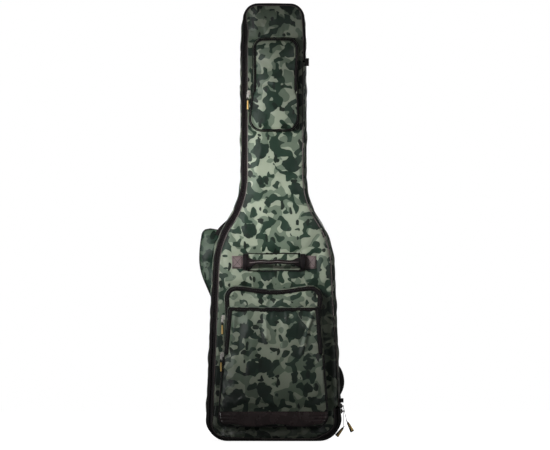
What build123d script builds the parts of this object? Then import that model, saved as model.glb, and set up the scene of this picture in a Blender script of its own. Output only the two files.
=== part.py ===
from build123d import *
import math
import os

# Padded gig bag for an electric bass, standing upright on its flat bottom with the neck end up.
# X is to the viewer's right, the front faces -Y and Z is up. The origin is the middle of the
# bottom face on which the bag stands. All lengths are in millimetres.

# Outer shape seen from the front
bag_height = 1240
neck_half = 92
neck_end_z = 682
hip_half = 169
hip_z = 566
foot_half = 193
top_radius = 38
neck_radius = 230
hip_radius = 262
foot_radius = 60

# Depth, counted from the middle of the bag's side
front_y = -47
panel_foam = 12
gusset_front_y = -32
gusset_back_y = 33
back_y = 47
wall = 12
skin = 3
lining = 1

# Zip band between the side and the lid, and the piped edge of the lid
tape_outer = 1
tape_split = 9
band_width = 17
shell_tape_depth = 7
lid_tape_front = 2
lid_tape_back = 6
zip_end_gap = 2
piping = 3
piping_proud = 1
gap = 0.3

# Webbing tabs over the two ends of the main zip, with their heights counted from the fold's ends
zip_tab_front_y = -42
zip_tab_back_y = -38
zip_tab_width = 8
upper_tab_heights = (-14, 8)
lower_tab_heights = (12, 24)
lower_tab_overlap = 3

# The lid folds along a straight line between the two ends of the main zip
fold_top_x = 86
fold_top_z = 1076
fold_low_x = 180
fold_low_z = 98
border_inset = 6
hinge_end_gap = 1

# Pockets: corners seen from the front, going round from the upper left
neck_pocket_points = [(-57, 1138), (70, 1138), (66, 1010), (70, 880), (-69, 880), (-55, 1010)]
neck_pocket_radii = [28, 28, 150, 32, 32, 150]
neck_pocket_depth = 25
neck_pocket_band = 6
neck_pocket_fold_z = 1000

large_pocket_points = [(-140, 442), (140, 442), (134, 350), (156, 44), (-158, 44), (-134, 350)]
large_pocket_radii = [36, 36, 300, 30, 30, 300]
large_pocket_depth = 26
large_pocket_band = 8
large_pocket_fold_z = 385

front_pocket_points = [(-127, 381), (129, 381), (154, 46), (-157, 46)]
front_pocket_radii = [6, 6, 28, 28]
front_pocket_depth = 20
front_pocket_band = 8
front_pocket_fold_z = 248
trim_top_z = 88
trim_thickness = 2

pocket_wall = 4
pocket_cloth = 3
zip_below_fold = 15

# Carry handle on the front
handle_z = 507
handle_half = 73
handle_bow = 26
handle_width = 20
handle_thickness = 9
handle_seat = 17.5
patch_width = 31
patch_height = 36
patch_thickness = 2
collar_width = 13
collar_height = 48
collar_depth = 19
backing_thickness = 3

# Zip sliders, their pullers and the rubber tags on them
slider_width = 10
slider_length = 13
slider_depth = 4
bar_radius = 0.8
bar_height = 2.6
eye_bore = 1.1
eye_radius = 2
eye_width = 3.8
post_width = 1.2
post_height = 4
slider_corner = 2
eye_neck = 5
puller_width = 8
puller_thickness = 1.6
puller_length = 15
main_puller_length = 44
puller_shoulder = 4
tag_length = 34
tag_narrow = 5
tag_wide = 8
main_tag_narrow = 6
main_tag_wide = 12
tag_thickness = 2.4
tag_top = 4
tag_corners = [0.5, 0.5, 2, 2]

# Inside the main compartment
rest_low_z = 690
rest_high_z = 750
rest_half = 62
rest_height = 28
cradle_radius = 30
cradle_rise = 6
strap_half = 40
strap_thickness = 2.5
strap_width = 38
bumper_half = 130
bumper_height = 26
bumper_depth = 56

# Shoulder straps behind the back panel
strap_gap = 3
pad_thickness = 20
pad_width = 68
web_width = 25
web_thickness = 2.5
ring_wire = 4
ring_width = 34
ring_height = 22
ring_corner = 9
tab_width = 24
tab_thickness = 2
tab_heights = (18, 37)
lock_width = 38
lock_height = 34
lock_corner = 5
lock_thickness = 5
lock_slot_width = 28
lock_slot_height = 6
lock_slot_offset = 8
anchor_width = 40
anchor_heights = (-22, 14)

os.makedirs("parts", exist_ok=True)


def rounded_shape(points, radii):
    """Flat shape with straight sides between the points and an arc at each corner."""
    return make_face(FilletPolyline(*points, radius=radii, close=True))


def window(left, low, right, high):
    """Rectangle between two corners, seen from the front."""
    return Pos((left + right) / 2, (low + high) / 2) * Rectangle(right - left, high - low)


def slab(shape, front, back):
    """A shape seen from the front, made solid between two depths."""
    plane = Plane(origin=(0, back, 0), x_dir=(1, 0, 0), z_dir=(0, -1, 0))
    return extrude(plane * shape, amount=back - front)


def block(left, front, low, right, back, high):
    """Plain box between its lowest and highest corners."""
    return slab(window(left, low, right, high), front, back)


def inset_shape(points, radii, inset):
    """A rounded shape brought in by an even margin."""
    shape = rounded_shape(points, radii)
    if inset == 0:
        return shape
    return offset(shape, amount=-inset)


def outline(inset=0):
    """The bag seen from the front: neck, shoulders and body, brought in by the inset."""
    right = [(neck_half, bag_height), (neck_half, neck_end_z), (hip_half, hip_z), (foot_half, 0)]
    left = [(-x, z) for x, z in reversed(right)]
    radii = [top_radius, neck_radius, hip_radius, foot_radius]
    return inset_shape(right + left, radii + radii[::-1], inset)


def ring(outer, inner):
    """Border of the bag between two insets."""
    return outline(outer) - outline(inner)


def fold_x(z):
    """Where the lid's fold line crosses a height."""
    slope = (fold_top_x - fold_low_x) / (fold_top_z - fold_low_z)
    return fold_low_x + slope * (z - fold_low_z)


def beside_fold(side, margin):
    """All that lies on one side of the fold line: -1 for the lid's side, 1 for the hinge side."""
    low = -bag_height
    high = 2 * bag_height
    corners = [
        (fold_x(low) + side * margin, low),
        (fold_x(high) + side * margin, high),
        (side * 2 * bag_height, high),
        (side * 2 * bag_height, low),
    ]
    return make_face(Polyline(*corners, close=True))


def hinge_window(margin):
    """The stretch of the right edge that has no zip."""
    return window(neck_half / 2, fold_low_z - margin, 2 * foot_half, fold_top_z + margin)


def shell_walls():
    """Foam-padded sides of the bag, with the outer cloth carried on to the back seam."""
    walls = slab(ring(0, wall), gusset_front_y, gusset_back_y)
    walls += slab(ring(0, skin), gusset_back_y, back_y - skin)
    return walls


def wall_part(left, low, right, high):
    """One sewn panel of the side, cut from the whole ring of walls."""
    return shell_walls() & block(left, front_y, low, right, back_y, high)


def shell_tape():
    """Zip tape sewn to the shell, absent along the fold."""
    shape = ring(tape_outer, tape_split) - hinge_window(0)
    return slab(shape, gusset_front_y - shell_tape_depth, gusset_front_y)


def zip_end_tabs():
    """Folded webbing tabs that cover the two ends of the main zip."""
    ends = [
        (neck_half + gap, fold_top_z, upper_tab_heights),
        (foot_half - lower_tab_overlap, fold_low_z, lower_tab_heights),
    ]
    tabs = []
    for x, z, (low, high) in ends:
        tab = block(x, zip_tab_front_y, z + low, x + zip_tab_width, zip_tab_back_y, z + high)
        tabs.append(tab.solid())
    return Compound(tabs)


def hinge_border():
    """Strip of the front to the right of the fold, which stays on the shell."""
    shape = outline(border_inset) & beside_fold(1, gap) & hinge_window(0)
    return slab(shape, front_y, gusset_front_y)


def edge_piping(on_lid):
    """Piping along the unzipped front edge: the neck's rides on the lid, the body's on the shell."""
    shape = ring(border_inset - piping, border_inset) & hinge_window(0)
    neck = window(0, neck_end_z, foot_half, bag_height)
    if on_lid:
        shape = shape & (beside_fold(-1, piping / 2) + neck)
    else:
        shape = (shape & beside_fold(1, piping / 2)) - neck
    return slab(shape, front_y - piping_proud, front_y + piping)


def front_shape(edge):
    """Shape of the lid: inset all round, and out to the fold line on the hinge side."""
    shape = outline(edge) + (outline(border_inset) & hinge_window(-hinge_end_gap))
    return shape & beside_fold(-1, gap)


def lid_ring(outer, inner):
    """Border of the lid along the zip, absent along the fold."""
    return ring(outer, inner) - hinge_window(zip_end_gap)


def pocket_ring(points, radii, outer, inner):
    """Border of a pocket between two insets."""
    return inset_shape(points, radii, outer) - inset_shape(points, radii, inner)


def pocket_gusset(points, radii, base_y, depth):
    """Side wall of a pocket, from the surface it is sewn to out to its zip."""
    return slab(pocket_ring(points, radii, 0, pocket_wall), base_y - depth + pocket_cloth, base_y)


def pocket_tape(points, radii, base_y, depth, band, low_z):
    """Zip band round the front of a pocket, above the height where the zip ends."""
    shape = pocket_ring(points, radii, 0, band) & window(-foot_half, low_z, foot_half, bag_height)
    return slab(shape, base_y - depth, base_y - depth + pocket_cloth)


def pocket_face(points, radii, base_y, depth, margin, low_z, high_z):
    """Front cloth of a pocket between two heights."""
    shape = inset_shape(points, radii, margin) & window(-foot_half, low_z, foot_half, high_z)
    return slab(shape, base_y - depth, base_y - depth + pocket_cloth)


def handle_grip():
    """Padded grip, bowed forward from the bag, with rounded long edges."""
    end_y = front_y - handle_seat
    crown_y = end_y - handle_bow
    middle = (handle_right - handle_half) / 2
    outer = ThreePointArc((-handle_half, end_y), (middle, crown_y), (handle_right, end_y))
    inner_end = end_y + handle_thickness
    inner = ThreePointArc(
        (handle_right, inner_end), (middle, crown_y + handle_thickness), (-handle_half, inner_end)
    )
    sides = Line((handle_right, end_y), (handle_right, inner_end))
    sides += Line((-handle_half, inner_end), (-handle_half, end_y))
    shape = make_face(outer + sides + inner)
    grip = extrude(Pos(0, 0, handle_z - handle_width / 2) * shape, amount=handle_width)
    return fillet(grip.edges().filter_by(GeomType.CIRCLE), handle_thickness / 3)


def slider():
    """Zip slider: body, two posts and the bar on which the puller turns."""
    body = Pos(0, -slider_depth / 2, 0) * Box(slider_width, slider_depth, slider_length)
    body = fillet(body.edges().filter_by(Axis.Y), slider_corner)
    post_x = eye_width / 2 + gap + post_width / 2
    post_y = -slider_depth - bar_height / 2
    for side in (-1, 1):
        body += Pos(side * post_x, post_y, 0) * Box(post_width, bar_height + 2 * bar_radius, post_height)
    bar = Rot(0, 90, 0) * Cylinder(bar_radius, 2 * post_x)
    return body + Pos(0, -slider_depth - bar_height, 0) * bar


def eye():
    """Round eye that turns on a bar."""
    return Rot(0, 90, 0) * (Cylinder(eye_radius, eye_width) - Cylinder(eye_bore, eye_width))


def bored(shape):
    """Clears the bar's bore through a shape that starts at the eye."""
    return shape - Rot(0, 90, 0) * Cylinder(eye_bore, 4 * puller_width)


def puller(length):
    """Metal puller: an eye, a flat link, and a bar at its lower end that carries the tag."""
    neck = Pos(0, 0, -eye_neck / 2) * Box(eye_width, puller_thickness, eye_neck)
    plate_top = -puller_shoulder
    plate_length = length + plate_top
    plate = Pos(0, 0, plate_top - plate_length / 2) * Box(puller_width, puller_thickness, plate_length)
    slot_width = eye_width + 2 * gap
    slot = Pos(0, 0, -length) * Box(slot_width, 2 * puller_thickness, 2 * (eye_radius + 2 * gap))
    bar = Pos(0, 0, -length) * (Rot(0, 90, 0) * Cylinder(bar_radius, puller_width))
    return bored(eye() + neck) + (plate - slot) + bar


def tag(narrow, wide, turned):
    """Rubber tag, wider towards its free end. A turned one shows its face across the bar."""
    neck = Pos(0, 0, -eye_neck / 2) * Box(eye_width, tag_thickness, eye_neck)
    corners = [
        (-narrow / 2, -tag_top),
        (narrow / 2, -tag_top),
        (wide / 2, -tag_length),
        (-wide / 2, -tag_length),
    ]
    blade = slab(rounded_shape(corners, tag_corners), -tag_thickness / 2, tag_thickness / 2)
    if turned:
        blade = Rot(0, 0, 90) * blade
    return bored(eye() + neck) + blade


def strap_web(points, radius):
    """Flat webbing lying along a path behind the back panel."""
    path = FilletPolyline(*points, radius=radius)
    near = back_y + strap_gap
    return slab(trace(path, line_width=web_width), near, near + web_thickness)


def strap_pad(points):
    """Foam shoulder pad that follows a gentle curve, with rounded ends."""
    path = Spline(*points)
    shape = trace(path, line_width=pad_width)
    shape = fillet(shape.vertices(), pad_width * 0.3)
    near = back_y + strap_gap
    return slab(shape, near, near + pad_thickness)


def d_ring(x, z):
    """Steel D-ring lying flat behind the back panel."""
    outer = RectangleRounded(ring_width, ring_height, ring_corner)
    inner_size = (ring_width - 2 * ring_wire, ring_height - 2 * ring_wire)
    inner = RectangleRounded(*inner_size, ring_corner - ring_wire)
    near = back_y + tab_thickness
    return slab(Pos(x, z) * (outer - inner), near, near + ring_wire)


def ladder_lock(x, z):
    """Plastic buckle with two slots that the lower webbing is threaded through."""
    frame = RectangleRounded(lock_width, lock_height, lock_corner)
    for side in (-1, 1):
        frame -= Pos(0, side * lock_slot_offset) * Rectangle(lock_slot_width, lock_slot_height)
    near = back_y + strap_gap + web_thickness + gap
    return slab(Pos(x, z) * frame, near, near + lock_thickness)


handle_right = handle_half + 3
lid_back_y = front_y + panel_foam
large_face_y = front_y - large_pocket_depth
front_face_y = large_face_y - front_pocket_depth

# Where each slider sits: a point on its base, its turn about Z, and its lean in its own plane
diagonal = -45
slider_places = {
    "neck_pocket": Location((-67.5, -68, 985), (0, 0, diagonal)),
    "large_pocket": Location((-139.5, -69.5, 352), (0, 0, diagonal)),
    "front_pocket": Location((-142.5, -91.5, 248), (0, 0, diagonal)),
    "main_upper": Location((190.2, -40, 100), (0, 0, 90)),
    "main_lower": Location((190.8, -40, 85.5), (0, 0, 90)),
}
puller_leans = {
    "neck_pocket": 0,
    "large_pocket": 0,
    "front_pocket": 0,
    "main_upper": 14,
    "main_lower": 2,
}
tag_leans = {
    "neck_pocket": 0,
    "large_pocket": 0,
    "front_pocket": 0,
    "main_upper": 14,
    "main_lower": -40,
}


def puller_place(name):
    """Where a puller hangs: on its slider's bar, swung outwards by its lean."""
    bar = Location((0, -slider_depth - bar_height, 0))
    return slider_places[name] * bar * Location((0, 0, 0), (-puller_leans[name], 0, 0))


def tag_place(name):
    """Where a tag hangs: on its puller's lower bar, swung outwards by its lean."""
    length = main_puller_length if name.startswith("main") else puller_length
    swing = Location((0, 0, 0), (-tag_leans[name], 0, 0))
    return puller_place(name) * Location((0, 0, -length)) * swing


def shell_nodes():
    """The half of the bag that stands: back, sides, inner padding and the fixed half of the zip."""
    side_top = bag_height - top_radius
    nodes = {
        "back_panel": slab(outline(skin), gusset_back_y, back_y),
        "side_gusset_left": wall_part(-foot_half, foot_radius, 0, side_top),
        "side_gusset_right": wall_part(0, foot_radius, foot_half, side_top),
        "top_gusset": wall_part(-foot_half, side_top, foot_half, bag_height),
        "bottom_gusset": wall_part(-foot_half, 0, foot_half, foot_radius),
        "back_piping": slab(ring(0, skin), back_y - skin, back_y),
        "back_lining": slab(outline(wall), gusset_back_y - lining, gusset_back_y),
        "shell_zip_tape": shell_tape(),
        "zip_end_tabs": zip_end_tabs(),
        "hinge_side_border": hinge_border(),
        "hinge_side_piping": edge_piping(False),
        "neck_rest_block": neck_rest(),
        "neck_strap": neck_strap(),
        "end_bumper": end_bumper(),
    }
    return nodes


def neck_rest():
    """Foam block on the back panel with a round cradle for the instrument's neck."""
    floor_y = gusset_back_y - lining
    top_y = floor_y - rest_height
    foam = block(-rest_half, top_y, rest_low_z, rest_half, floor_y, rest_high_z)
    middle_z = (rest_low_z + rest_high_z) / 2
    groove = Pos(0, top_y - cradle_rise, middle_z) * Cylinder(cradle_radius, rest_high_z)
    return foam - groove


def neck_strap():
    """Hook-and-loop strap across the cradle, hinged at its right end."""
    back = gusset_back_y - lining - rest_height - gap
    middle_z = (rest_low_z + rest_high_z) / 2
    half = strap_width / 2
    return block(-strap_half, back - strap_thickness, middle_z - half, strap_half, back, middle_z + half)


def end_bumper():
    """Foam block inside the bottom that takes the instrument's strap button."""
    low = wall
    back = gusset_back_y - lining
    return block(-bumper_half, back - bumper_depth, low, bumper_half, back, low + bumper_height)


def strap_nodes():
    """Two padded shoulder straps with their rings, tabs, webbing, buckles and anchors."""
    left_ring = (-80, 1006)
    right_ring = (78, 1006)
    left_upper = [(-80, 994.5), (-66, 760), (-80, 650), (-140, 606), (-158, 580)]
    right_upper = [(78, 994.5), (70, 800), (84, 640), (96, 560)]
    left_pad = [(-167, 598), (-176, 545), (-177, 492), (-150, 430), (-122, 362), (-110, 280)]
    right_pad = [(92, 590), (112, 520), (118, 440), (104, 350), (96, 280)]
    left_lower = [(-110, 300), (-118, 200), (-150, 110)]
    right_lower = [(96, 300), (120, 240), (176, 205), (187, 165), (172, 120), (150, 100)]
    tabs = []
    anchors = []
    for x, z in (left_ring, right_ring):
        low, high = [z + height for height in tab_heights]
        half = tab_width / 2
        tabs.append(block(x - half, back_y, low, x + half, back_y + tab_thickness, high))
    for x, z in ((-150, 100), (146, 100)):
        low, high = [z + height for height in anchor_heights]
        half = anchor_width / 2
        anchors.append(block(x - half, back_y, low, x + half, back_y + strap_gap - gap, high))
    rings = [d_ring(*left_ring), d_ring(*right_ring)]
    locks = [ladder_lock(-112, 240), ladder_lock(104, 240)]
    pad_left = strap_pad(left_pad)
    pad_right = strap_pad(right_pad)
    return {
        "strap_rings": Compound([part.solid() for part in rings]),
        "ring_tabs": Compound([part.solid() for part in tabs]),
        "strap_web_upper_left": strap_web(left_upper, [200, 60, 30]) - pad_left,
        "strap_web_upper_right": strap_web(right_upper, [200, 200]) - pad_right,
        "strap_pad_left": pad_left,
        "strap_pad_right": pad_right,
        "strap_buckles": Compound([part.solid() for part in locks]),
        "strap_web_lower_left": strap_web(left_lower, [100]) - pad_left,
        "strap_web_lower_right": strap_web(right_lower, [60, 25, 25, 25]) - pad_right,
        "strap_anchors": Compound([part.solid() for part in anchors]),
    }


def lid_nodes():
    """The front of the bag, which opens to the right like a book."""
    edge = band_width + piping
    patches = []
    collars = []
    patch_y = front_y - patch_thickness
    for side, inner in ((-1, -handle_half), (1, handle_right)):
        start = inner + side * gap
        collar_end = start + side * collar_width
        patch_end = collar_end + side * patch_width
        low = handle_z - collar_height / 2
        collars.append(
            block(min(start, collar_end), front_y - collar_depth, low,
                  max(start, collar_end), front_y, low + collar_height)
        )
        low = handle_z - patch_height / 2
        patches.append(
            block(min(collar_end, patch_end), patch_y, low,
                  max(collar_end, patch_end), front_y, low + patch_height)
        )
    backing_low = handle_z - collar_height / 2
    return {
        "front_panel": slab(front_shape(edge), front_y, lid_back_y),
        "lid_lining": slab(front_shape(edge + skin), lid_back_y, lid_back_y + lining),
        "lid_zip_tape": slab(
            lid_ring(tape_split + gap, band_width), front_y + lid_tape_front, front_y + lid_tape_back
        ),
        "lid_piping": slab(lid_ring(band_width, edge), front_y - piping_proud, front_y + piping)
        + edge_piping(True),
        "handle_backing": block(-handle_half, front_y - backing_thickness, backing_low,
                                handle_right, front_y, backing_low + collar_height),
        "handle_patches": Compound([part.solid() for part in patches]),
        "handle_collars": Compound([part.solid() for part in collars]),
    }


def neck_pocket_nodes():
    """Small pocket on the neck with an arched zip."""
    shape = (neck_pocket_points, neck_pocket_radii)
    place = (front_y, neck_pocket_depth)
    band = neck_pocket_band
    fold = neck_pocket_fold_z
    return {
        "neck_pocket_gusset": pocket_gusset(*shape, *place),
        "neck_pocket_zip_tape": pocket_tape(*shape, *place, band, fold - zip_below_fold),
        "neck_pocket_front": pocket_face(*shape, *place, band, 0, fold - gap)
        + pocket_face(*shape, *place, 0, 0, fold - zip_below_fold),
        "neck_pocket_flap": pocket_face(*shape, *place, band + gap, fold + gap, bag_height),
    }


def large_pocket_nodes():
    """Large accessory pocket on the body, behind the front pocket."""
    shape = (large_pocket_points, large_pocket_radii)
    place = (front_y, large_pocket_depth)
    band = large_pocket_band
    fold = large_pocket_fold_z
    return {
        "large_pocket_gusset": pocket_gusset(*shape, *place),
        "large_pocket_zip_tape": pocket_tape(*shape, *place, band, front_pocket_fold_z),
        "large_pocket_front": pocket_face(*shape, *place, band, 0, fold - gap)
        + pocket_face(*shape, *place, 0, 0, front_pocket_fold_z),
        "large_pocket_flap": pocket_face(*shape, *place, band + gap, fold + gap, bag_height),
    }


def front_pocket_nodes():
    """Front pocket with a straight zip and a leatherette band along its bottom."""
    shape = (front_pocket_points, front_pocket_radii)
    place = (large_face_y, front_pocket_depth)
    band = front_pocket_band
    fold = front_pocket_fold_z
    trim = inset_shape(*shape, 0) & window(-foot_half, 0, foot_half, trim_top_z)
    return {
        "front_pocket_gusset": pocket_gusset(*shape, *place),
        "front_pocket_zip_tape": pocket_tape(*shape, *place, band, fold),
        "front_pocket_front": pocket_face(*shape, *place, 0, 0, fold - gap),
        "front_pocket_flap": pocket_face(*shape, *place, band + gap, fold + gap, bag_height),
        "trim_band": slab(trim, front_face_y - trim_thickness, front_face_y),
    }


def zip_pull_nodes():
    """Sliders with their pullers and tags, each set on its own zip."""
    nodes = {}
    for name, place in slider_places.items():
        is_main = name.startswith("main")
        length = main_puller_length if is_main else puller_length
        narrow = main_tag_narrow if is_main else tag_narrow
        wide = main_tag_wide if is_main else tag_wide
        nodes[name + "_slider"] = place * slider()
        nodes[name + "_puller"] = puller_place(name) * puller(length)
        nodes[name + "_tag"] = tag_place(name) * tag(narrow, wide, is_main)
    return nodes


nodes = {}
nodes.update(shell_nodes())
nodes.update(strap_nodes())
nodes.update(lid_nodes())
nodes.update(neck_pocket_nodes())
nodes.update(large_pocket_nodes())
nodes.update(front_pocket_nodes())
nodes.update({"handle_grip": handle_grip()})
nodes.update(zip_pull_nodes())

for node_name, shape in nodes.items():
    export_step(shape, f"parts/{node_name}.step")
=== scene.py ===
import math

import bmesh
import bpy
import numpy as np
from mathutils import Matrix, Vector, noise


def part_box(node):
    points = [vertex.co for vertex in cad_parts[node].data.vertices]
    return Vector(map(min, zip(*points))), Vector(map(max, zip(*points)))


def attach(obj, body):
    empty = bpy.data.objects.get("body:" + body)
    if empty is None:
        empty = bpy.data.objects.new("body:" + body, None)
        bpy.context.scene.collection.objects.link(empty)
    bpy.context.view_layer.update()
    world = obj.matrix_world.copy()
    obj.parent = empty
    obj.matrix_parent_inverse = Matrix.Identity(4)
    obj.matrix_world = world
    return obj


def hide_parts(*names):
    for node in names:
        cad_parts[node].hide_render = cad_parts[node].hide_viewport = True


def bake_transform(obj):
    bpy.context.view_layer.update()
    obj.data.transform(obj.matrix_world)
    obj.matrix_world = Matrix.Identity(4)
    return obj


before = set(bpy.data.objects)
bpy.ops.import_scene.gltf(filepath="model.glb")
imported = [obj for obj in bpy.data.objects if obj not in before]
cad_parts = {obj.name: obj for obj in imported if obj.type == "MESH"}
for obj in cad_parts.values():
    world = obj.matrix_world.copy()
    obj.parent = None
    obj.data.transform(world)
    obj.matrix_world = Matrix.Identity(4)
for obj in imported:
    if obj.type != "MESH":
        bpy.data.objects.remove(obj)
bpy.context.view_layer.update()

# ---- Camera, floor and studio light ------------------------------------------------------
# A long lens stands far off and level, so the bag is seen square on. A soft box from the upper
# left lights the middle of the bag, and two fill its sides. Two narrow strips give only sheen
# along the folds. Floor and surroundings are plain white.


def linear(hex_colour, alpha=1.0):
    """sRGB hex value as a linear colour."""
    parts = [int(hex_colour[i:i + 2], 16) / 255 for i in (1, 3, 5)]
    return [p / 12.92 if p <= 0.04045 else ((p + 0.055) / 1.055) ** 2.4 for p in parts] + [alpha]


def add_node(tree, kind, settings=None, inputs=None):
    """Adds a node with its settings, and sets or links its inputs."""
    node = tree.nodes.new(kind)
    for name, value in (settings or {}).items():
        setattr(node, name, value)
    for key, value in (inputs or {}).items():
        if isinstance(value, bpy.types.NodeSocket):
            tree.links.new(value, node.inputs[key])
        else:
            node.inputs[key].default_value = value
    return node


def look_from(thing, place, target):
    """Puts a lamp or camera at a place, turned to face a target."""
    thing.location = place
    thing.rotation_euler = (Vector(target) - Vector(place)).to_track_quat("-Z", "Y").to_euler()


def soft_box(name, place, target, width, height, watts):
    """Rectangular studio light that the camera doesn't see."""
    lamp = bpy.data.lights.new(name, "AREA")
    lamp.shape = "RECTANGLE"
    lamp.size = width
    lamp.size_y = height
    lamp.energy = watts
    holder = bpy.data.objects.new(name, lamp)
    bpy.context.scene.collection.objects.link(holder)
    look_from(holder, place, target)
    holder.visible_camera = False
    return holder


seen_width = 1.554  # metres from side to side of the view, at the depth of the bag's front face
front_face = 0.05  # metres from the bag's middle to its front face
camera_middle = (0.0042, 0.0, 0.6121)
camera_distance = 8.0
camera_data = bpy.data.cameras.new("camera")
camera_data.lens = camera_data.sensor_width * (camera_distance - front_face) / seen_width
camera_data.clip_end = 60
camera = bpy.data.objects.new("camera", camera_data)
bpy.context.scene.collection.objects.link(camera)
look_from(camera, (camera_middle[0], -camera_distance, camera_middle[2]), camera_middle)
bpy.context.scene.camera = camera
bpy.context.scene.view_settings.view_transform = "Standard"

front_box = soft_box("front_box", (-0.92, -1.12, 0.98), (0.01, 0.0, 0.68), 0.28, 0.28, 2.45)
front_box.data.spread = math.radians(44)
front_box.visible_glossy = False
for side, watts in ((-1, 10.5), (1, 3.5)):
    sheen_strip = soft_box("sheen_strip", (1.15 * side, -1.75, 0.75), (0.0, 0.0, 0.60), 0.07, 1.3, watts)
    sheen_strip.visible_diffuse = False
soft_box("high_strip", (-0.55, -1.6, 2.0), (0.0, 0.0, 0.60), 0.9, 0.18, 0.6)
soft_box("left_box", (-1.25, -1.15, 0.85), (0.0, 0.0, 0.62), 0.20, 1.2, 1.3)
soft_box("right_box", (1.35, -1.0, 0.75), (0.0, 0.0, 0.58), 0.20, 1.2, 2.3)
soft_box("back_box", (0.5, 2.2, 1.6), (0.0, 0.0, 0.6), 1.0, 1.0, 18)

world = bpy.data.worlds.new("studio")
bpy.context.scene.world = world
world.use_nodes = True
world.node_tree.nodes.clear()
seen = add_node(world.node_tree, "ShaderNodeBackground", inputs={"Color": (1, 1, 1, 1), "Strength": 1.0})
lighting = add_node(world.node_tree, "ShaderNodeBackground", inputs={"Color": (1, 1, 1, 1)})
ray = add_node(world.node_tree, "ShaderNodeLightPath")
shine_light = add_node(world.node_tree, "ShaderNodeMapRange", None,
                       {"Value": ray.outputs["Is Glossy Ray"], "To Min": 0.05, "To Max": 0.09})
world.node_tree.links.new(shine_light.outputs[0], lighting.inputs["Strength"])
mixed = add_node(world.node_tree, "ShaderNodeMixShader",
                 inputs={0: ray.outputs["Is Camera Ray"], 1: lighting.outputs[0], 2: seen.outputs[0]})
add_node(world.node_tree, "ShaderNodeOutputWorld", inputs={"Surface": mixed.outputs[0]})

floor_mesh = bpy.data.meshes.new("floor")
floor_mesh.from_pydata([(-1.6, -1.2, 0), (1.6, -1.2, 0), (1.6, 1.2, 0), (-1.6, 1.2, 0)], [], [(0, 1, 2, 3)])
floor = bpy.data.objects.new("floor", floor_mesh)
bpy.context.scene.collection.objects.link(floor)
# Matt white paper: the floor melts into the white surroundings, with no edge or shadow to see.
white_floor = bpy.data.materials.new("white paper floor")
white_floor.use_nodes = True
white_shader = white_floor.node_tree.nodes["Principled BSDF"]
white_shader.inputs["Base Color"].default_value = linear("#f4f4f4")
white_shader.inputs["Roughness"].default_value = 0.9
white_shader.inputs["Emission Color"].default_value = (1, 1, 1, 1)
white_shader.inputs["Emission Strength"].default_value = 0.94
floor_mesh.materials.append(white_floor)
floor.visible_diffuse = False
floor.visible_glossy = False

# ---- Side walls: left, right, top and bottom panels ---------------------------------------
# Foam 12 mm thick between printed satin nylon outside and black brushed lining inside. The
# left and right walls are camouflage cloth; the end panels are plain black hard-wearing nylon.


def mm(*values):
    """Millimetres as metres."""
    made = [v / 1000 for v in values]
    return made[0] if len(made) == 1 else made


def rounded_path(corners, radii, inset=0.0, spacing=0.006):
    """Closed outline, clockwise from the front, with a round corner at each point.

    inset is one margin, or one for each side from that corner to the next. The count of
    points depends only on the corners, so outlines with different insets match point by point."""
    corners = np.array(corners, float)
    count = len(corners)
    insets = np.full(count, inset) if np.isscalar(inset) else np.array(inset, float)
    along = np.roll(corners, -1, 0) - corners
    length = np.linalg.norm(along, axis=1)
    along /= length[:, None]
    outward = np.stack([-along[:, 1], along[:, 0]], 1)
    arcs = []
    for i in range(count):
        before, after = along[i - 1], along[i]
        cross = before[0] * after[1] - before[1] * after[0]
        turn = math.acos(np.clip(before @ after, -1, 1))
        lines = np.array([outward[i - 1], outward[i]])
        reach = [lines[0] @ corners[i] - insets[i - 1], lines[1] @ corners[i] - insets[i]]
        corner = np.linalg.solve(lines, reach)
        margin = (insets[i - 1] + insets[i]) / 2
        radius = max(radii[i] - margin, 0.0008) if cross < 0 else radii[i] + margin
        inward = -outward[i - 1] if cross < 0 else outward[i - 1]
        angles = np.linspace(0, turn, max(4, int(radii[i] * turn / spacing) + 3))
        start = corner - before * radius * math.tan(turn / 2)
        sweep = np.outer(np.sin(angles), before) + np.outer(1 - np.cos(angles), inward)
        arcs.append(start + radius * sweep)
    points = []
    for i in range(count):
        end = arcs[(i + 1) % count][0]
        points.append(arcs[i])
        steps = max(2, int(length[i] / spacing))
        share = np.linspace(0, 1, steps + 1)[1:-1, None]
        points.append(arcs[i][-1] * (1 - share) + end * share)
    return np.concatenate(points)


def outward_normals(path):
    """Unit normals pointing out of a closed clockwise path."""
    ahead = np.roll(path, -1, 0) - np.roll(path, 1, 0)
    ahead /= np.linalg.norm(ahead, axis=1)[:, None] + 1e-12
    return np.stack([-ahead[:, 1], ahead[:, 0]], 1)


def finish_mesh(name, points, faces, materials, smooth=True, offset=(0, 0, 0)):
    """New object with its cloth place stored on each point, so that the print follows the cloth."""
    mesh = bpy.data.meshes.new(name)
    mesh.from_pydata([tuple(p) for p in points], [], faces)
    mesh.validate()
    store_place(mesh, offset)
    face_outwards(mesh)
    for material in materials:
        mesh.materials.append(material)
    mesh.polygons.foreach_set("use_smooth", [smooth] * len(mesh.polygons))
    obj = bpy.data.objects.new(name, mesh)
    bpy.context.scene.collection.objects.link(obj)
    return obj


def fit(piece, body, slot, *nodes, fill=None):
    """Rides a piece on its body and hides the CAD nodes it stands for; its finish and filling are not used.
    """
    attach(piece, body)
    if nodes:
        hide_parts(*nodes)


def face_outwards(mesh):
    """Turns every face of a closed body outwards."""
    work = bmesh.new()
    work.from_mesh(mesh)
    bmesh.ops.recalc_face_normals(work, faces=work.faces)
    work.to_mesh(mesh)
    work.free()


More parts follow.
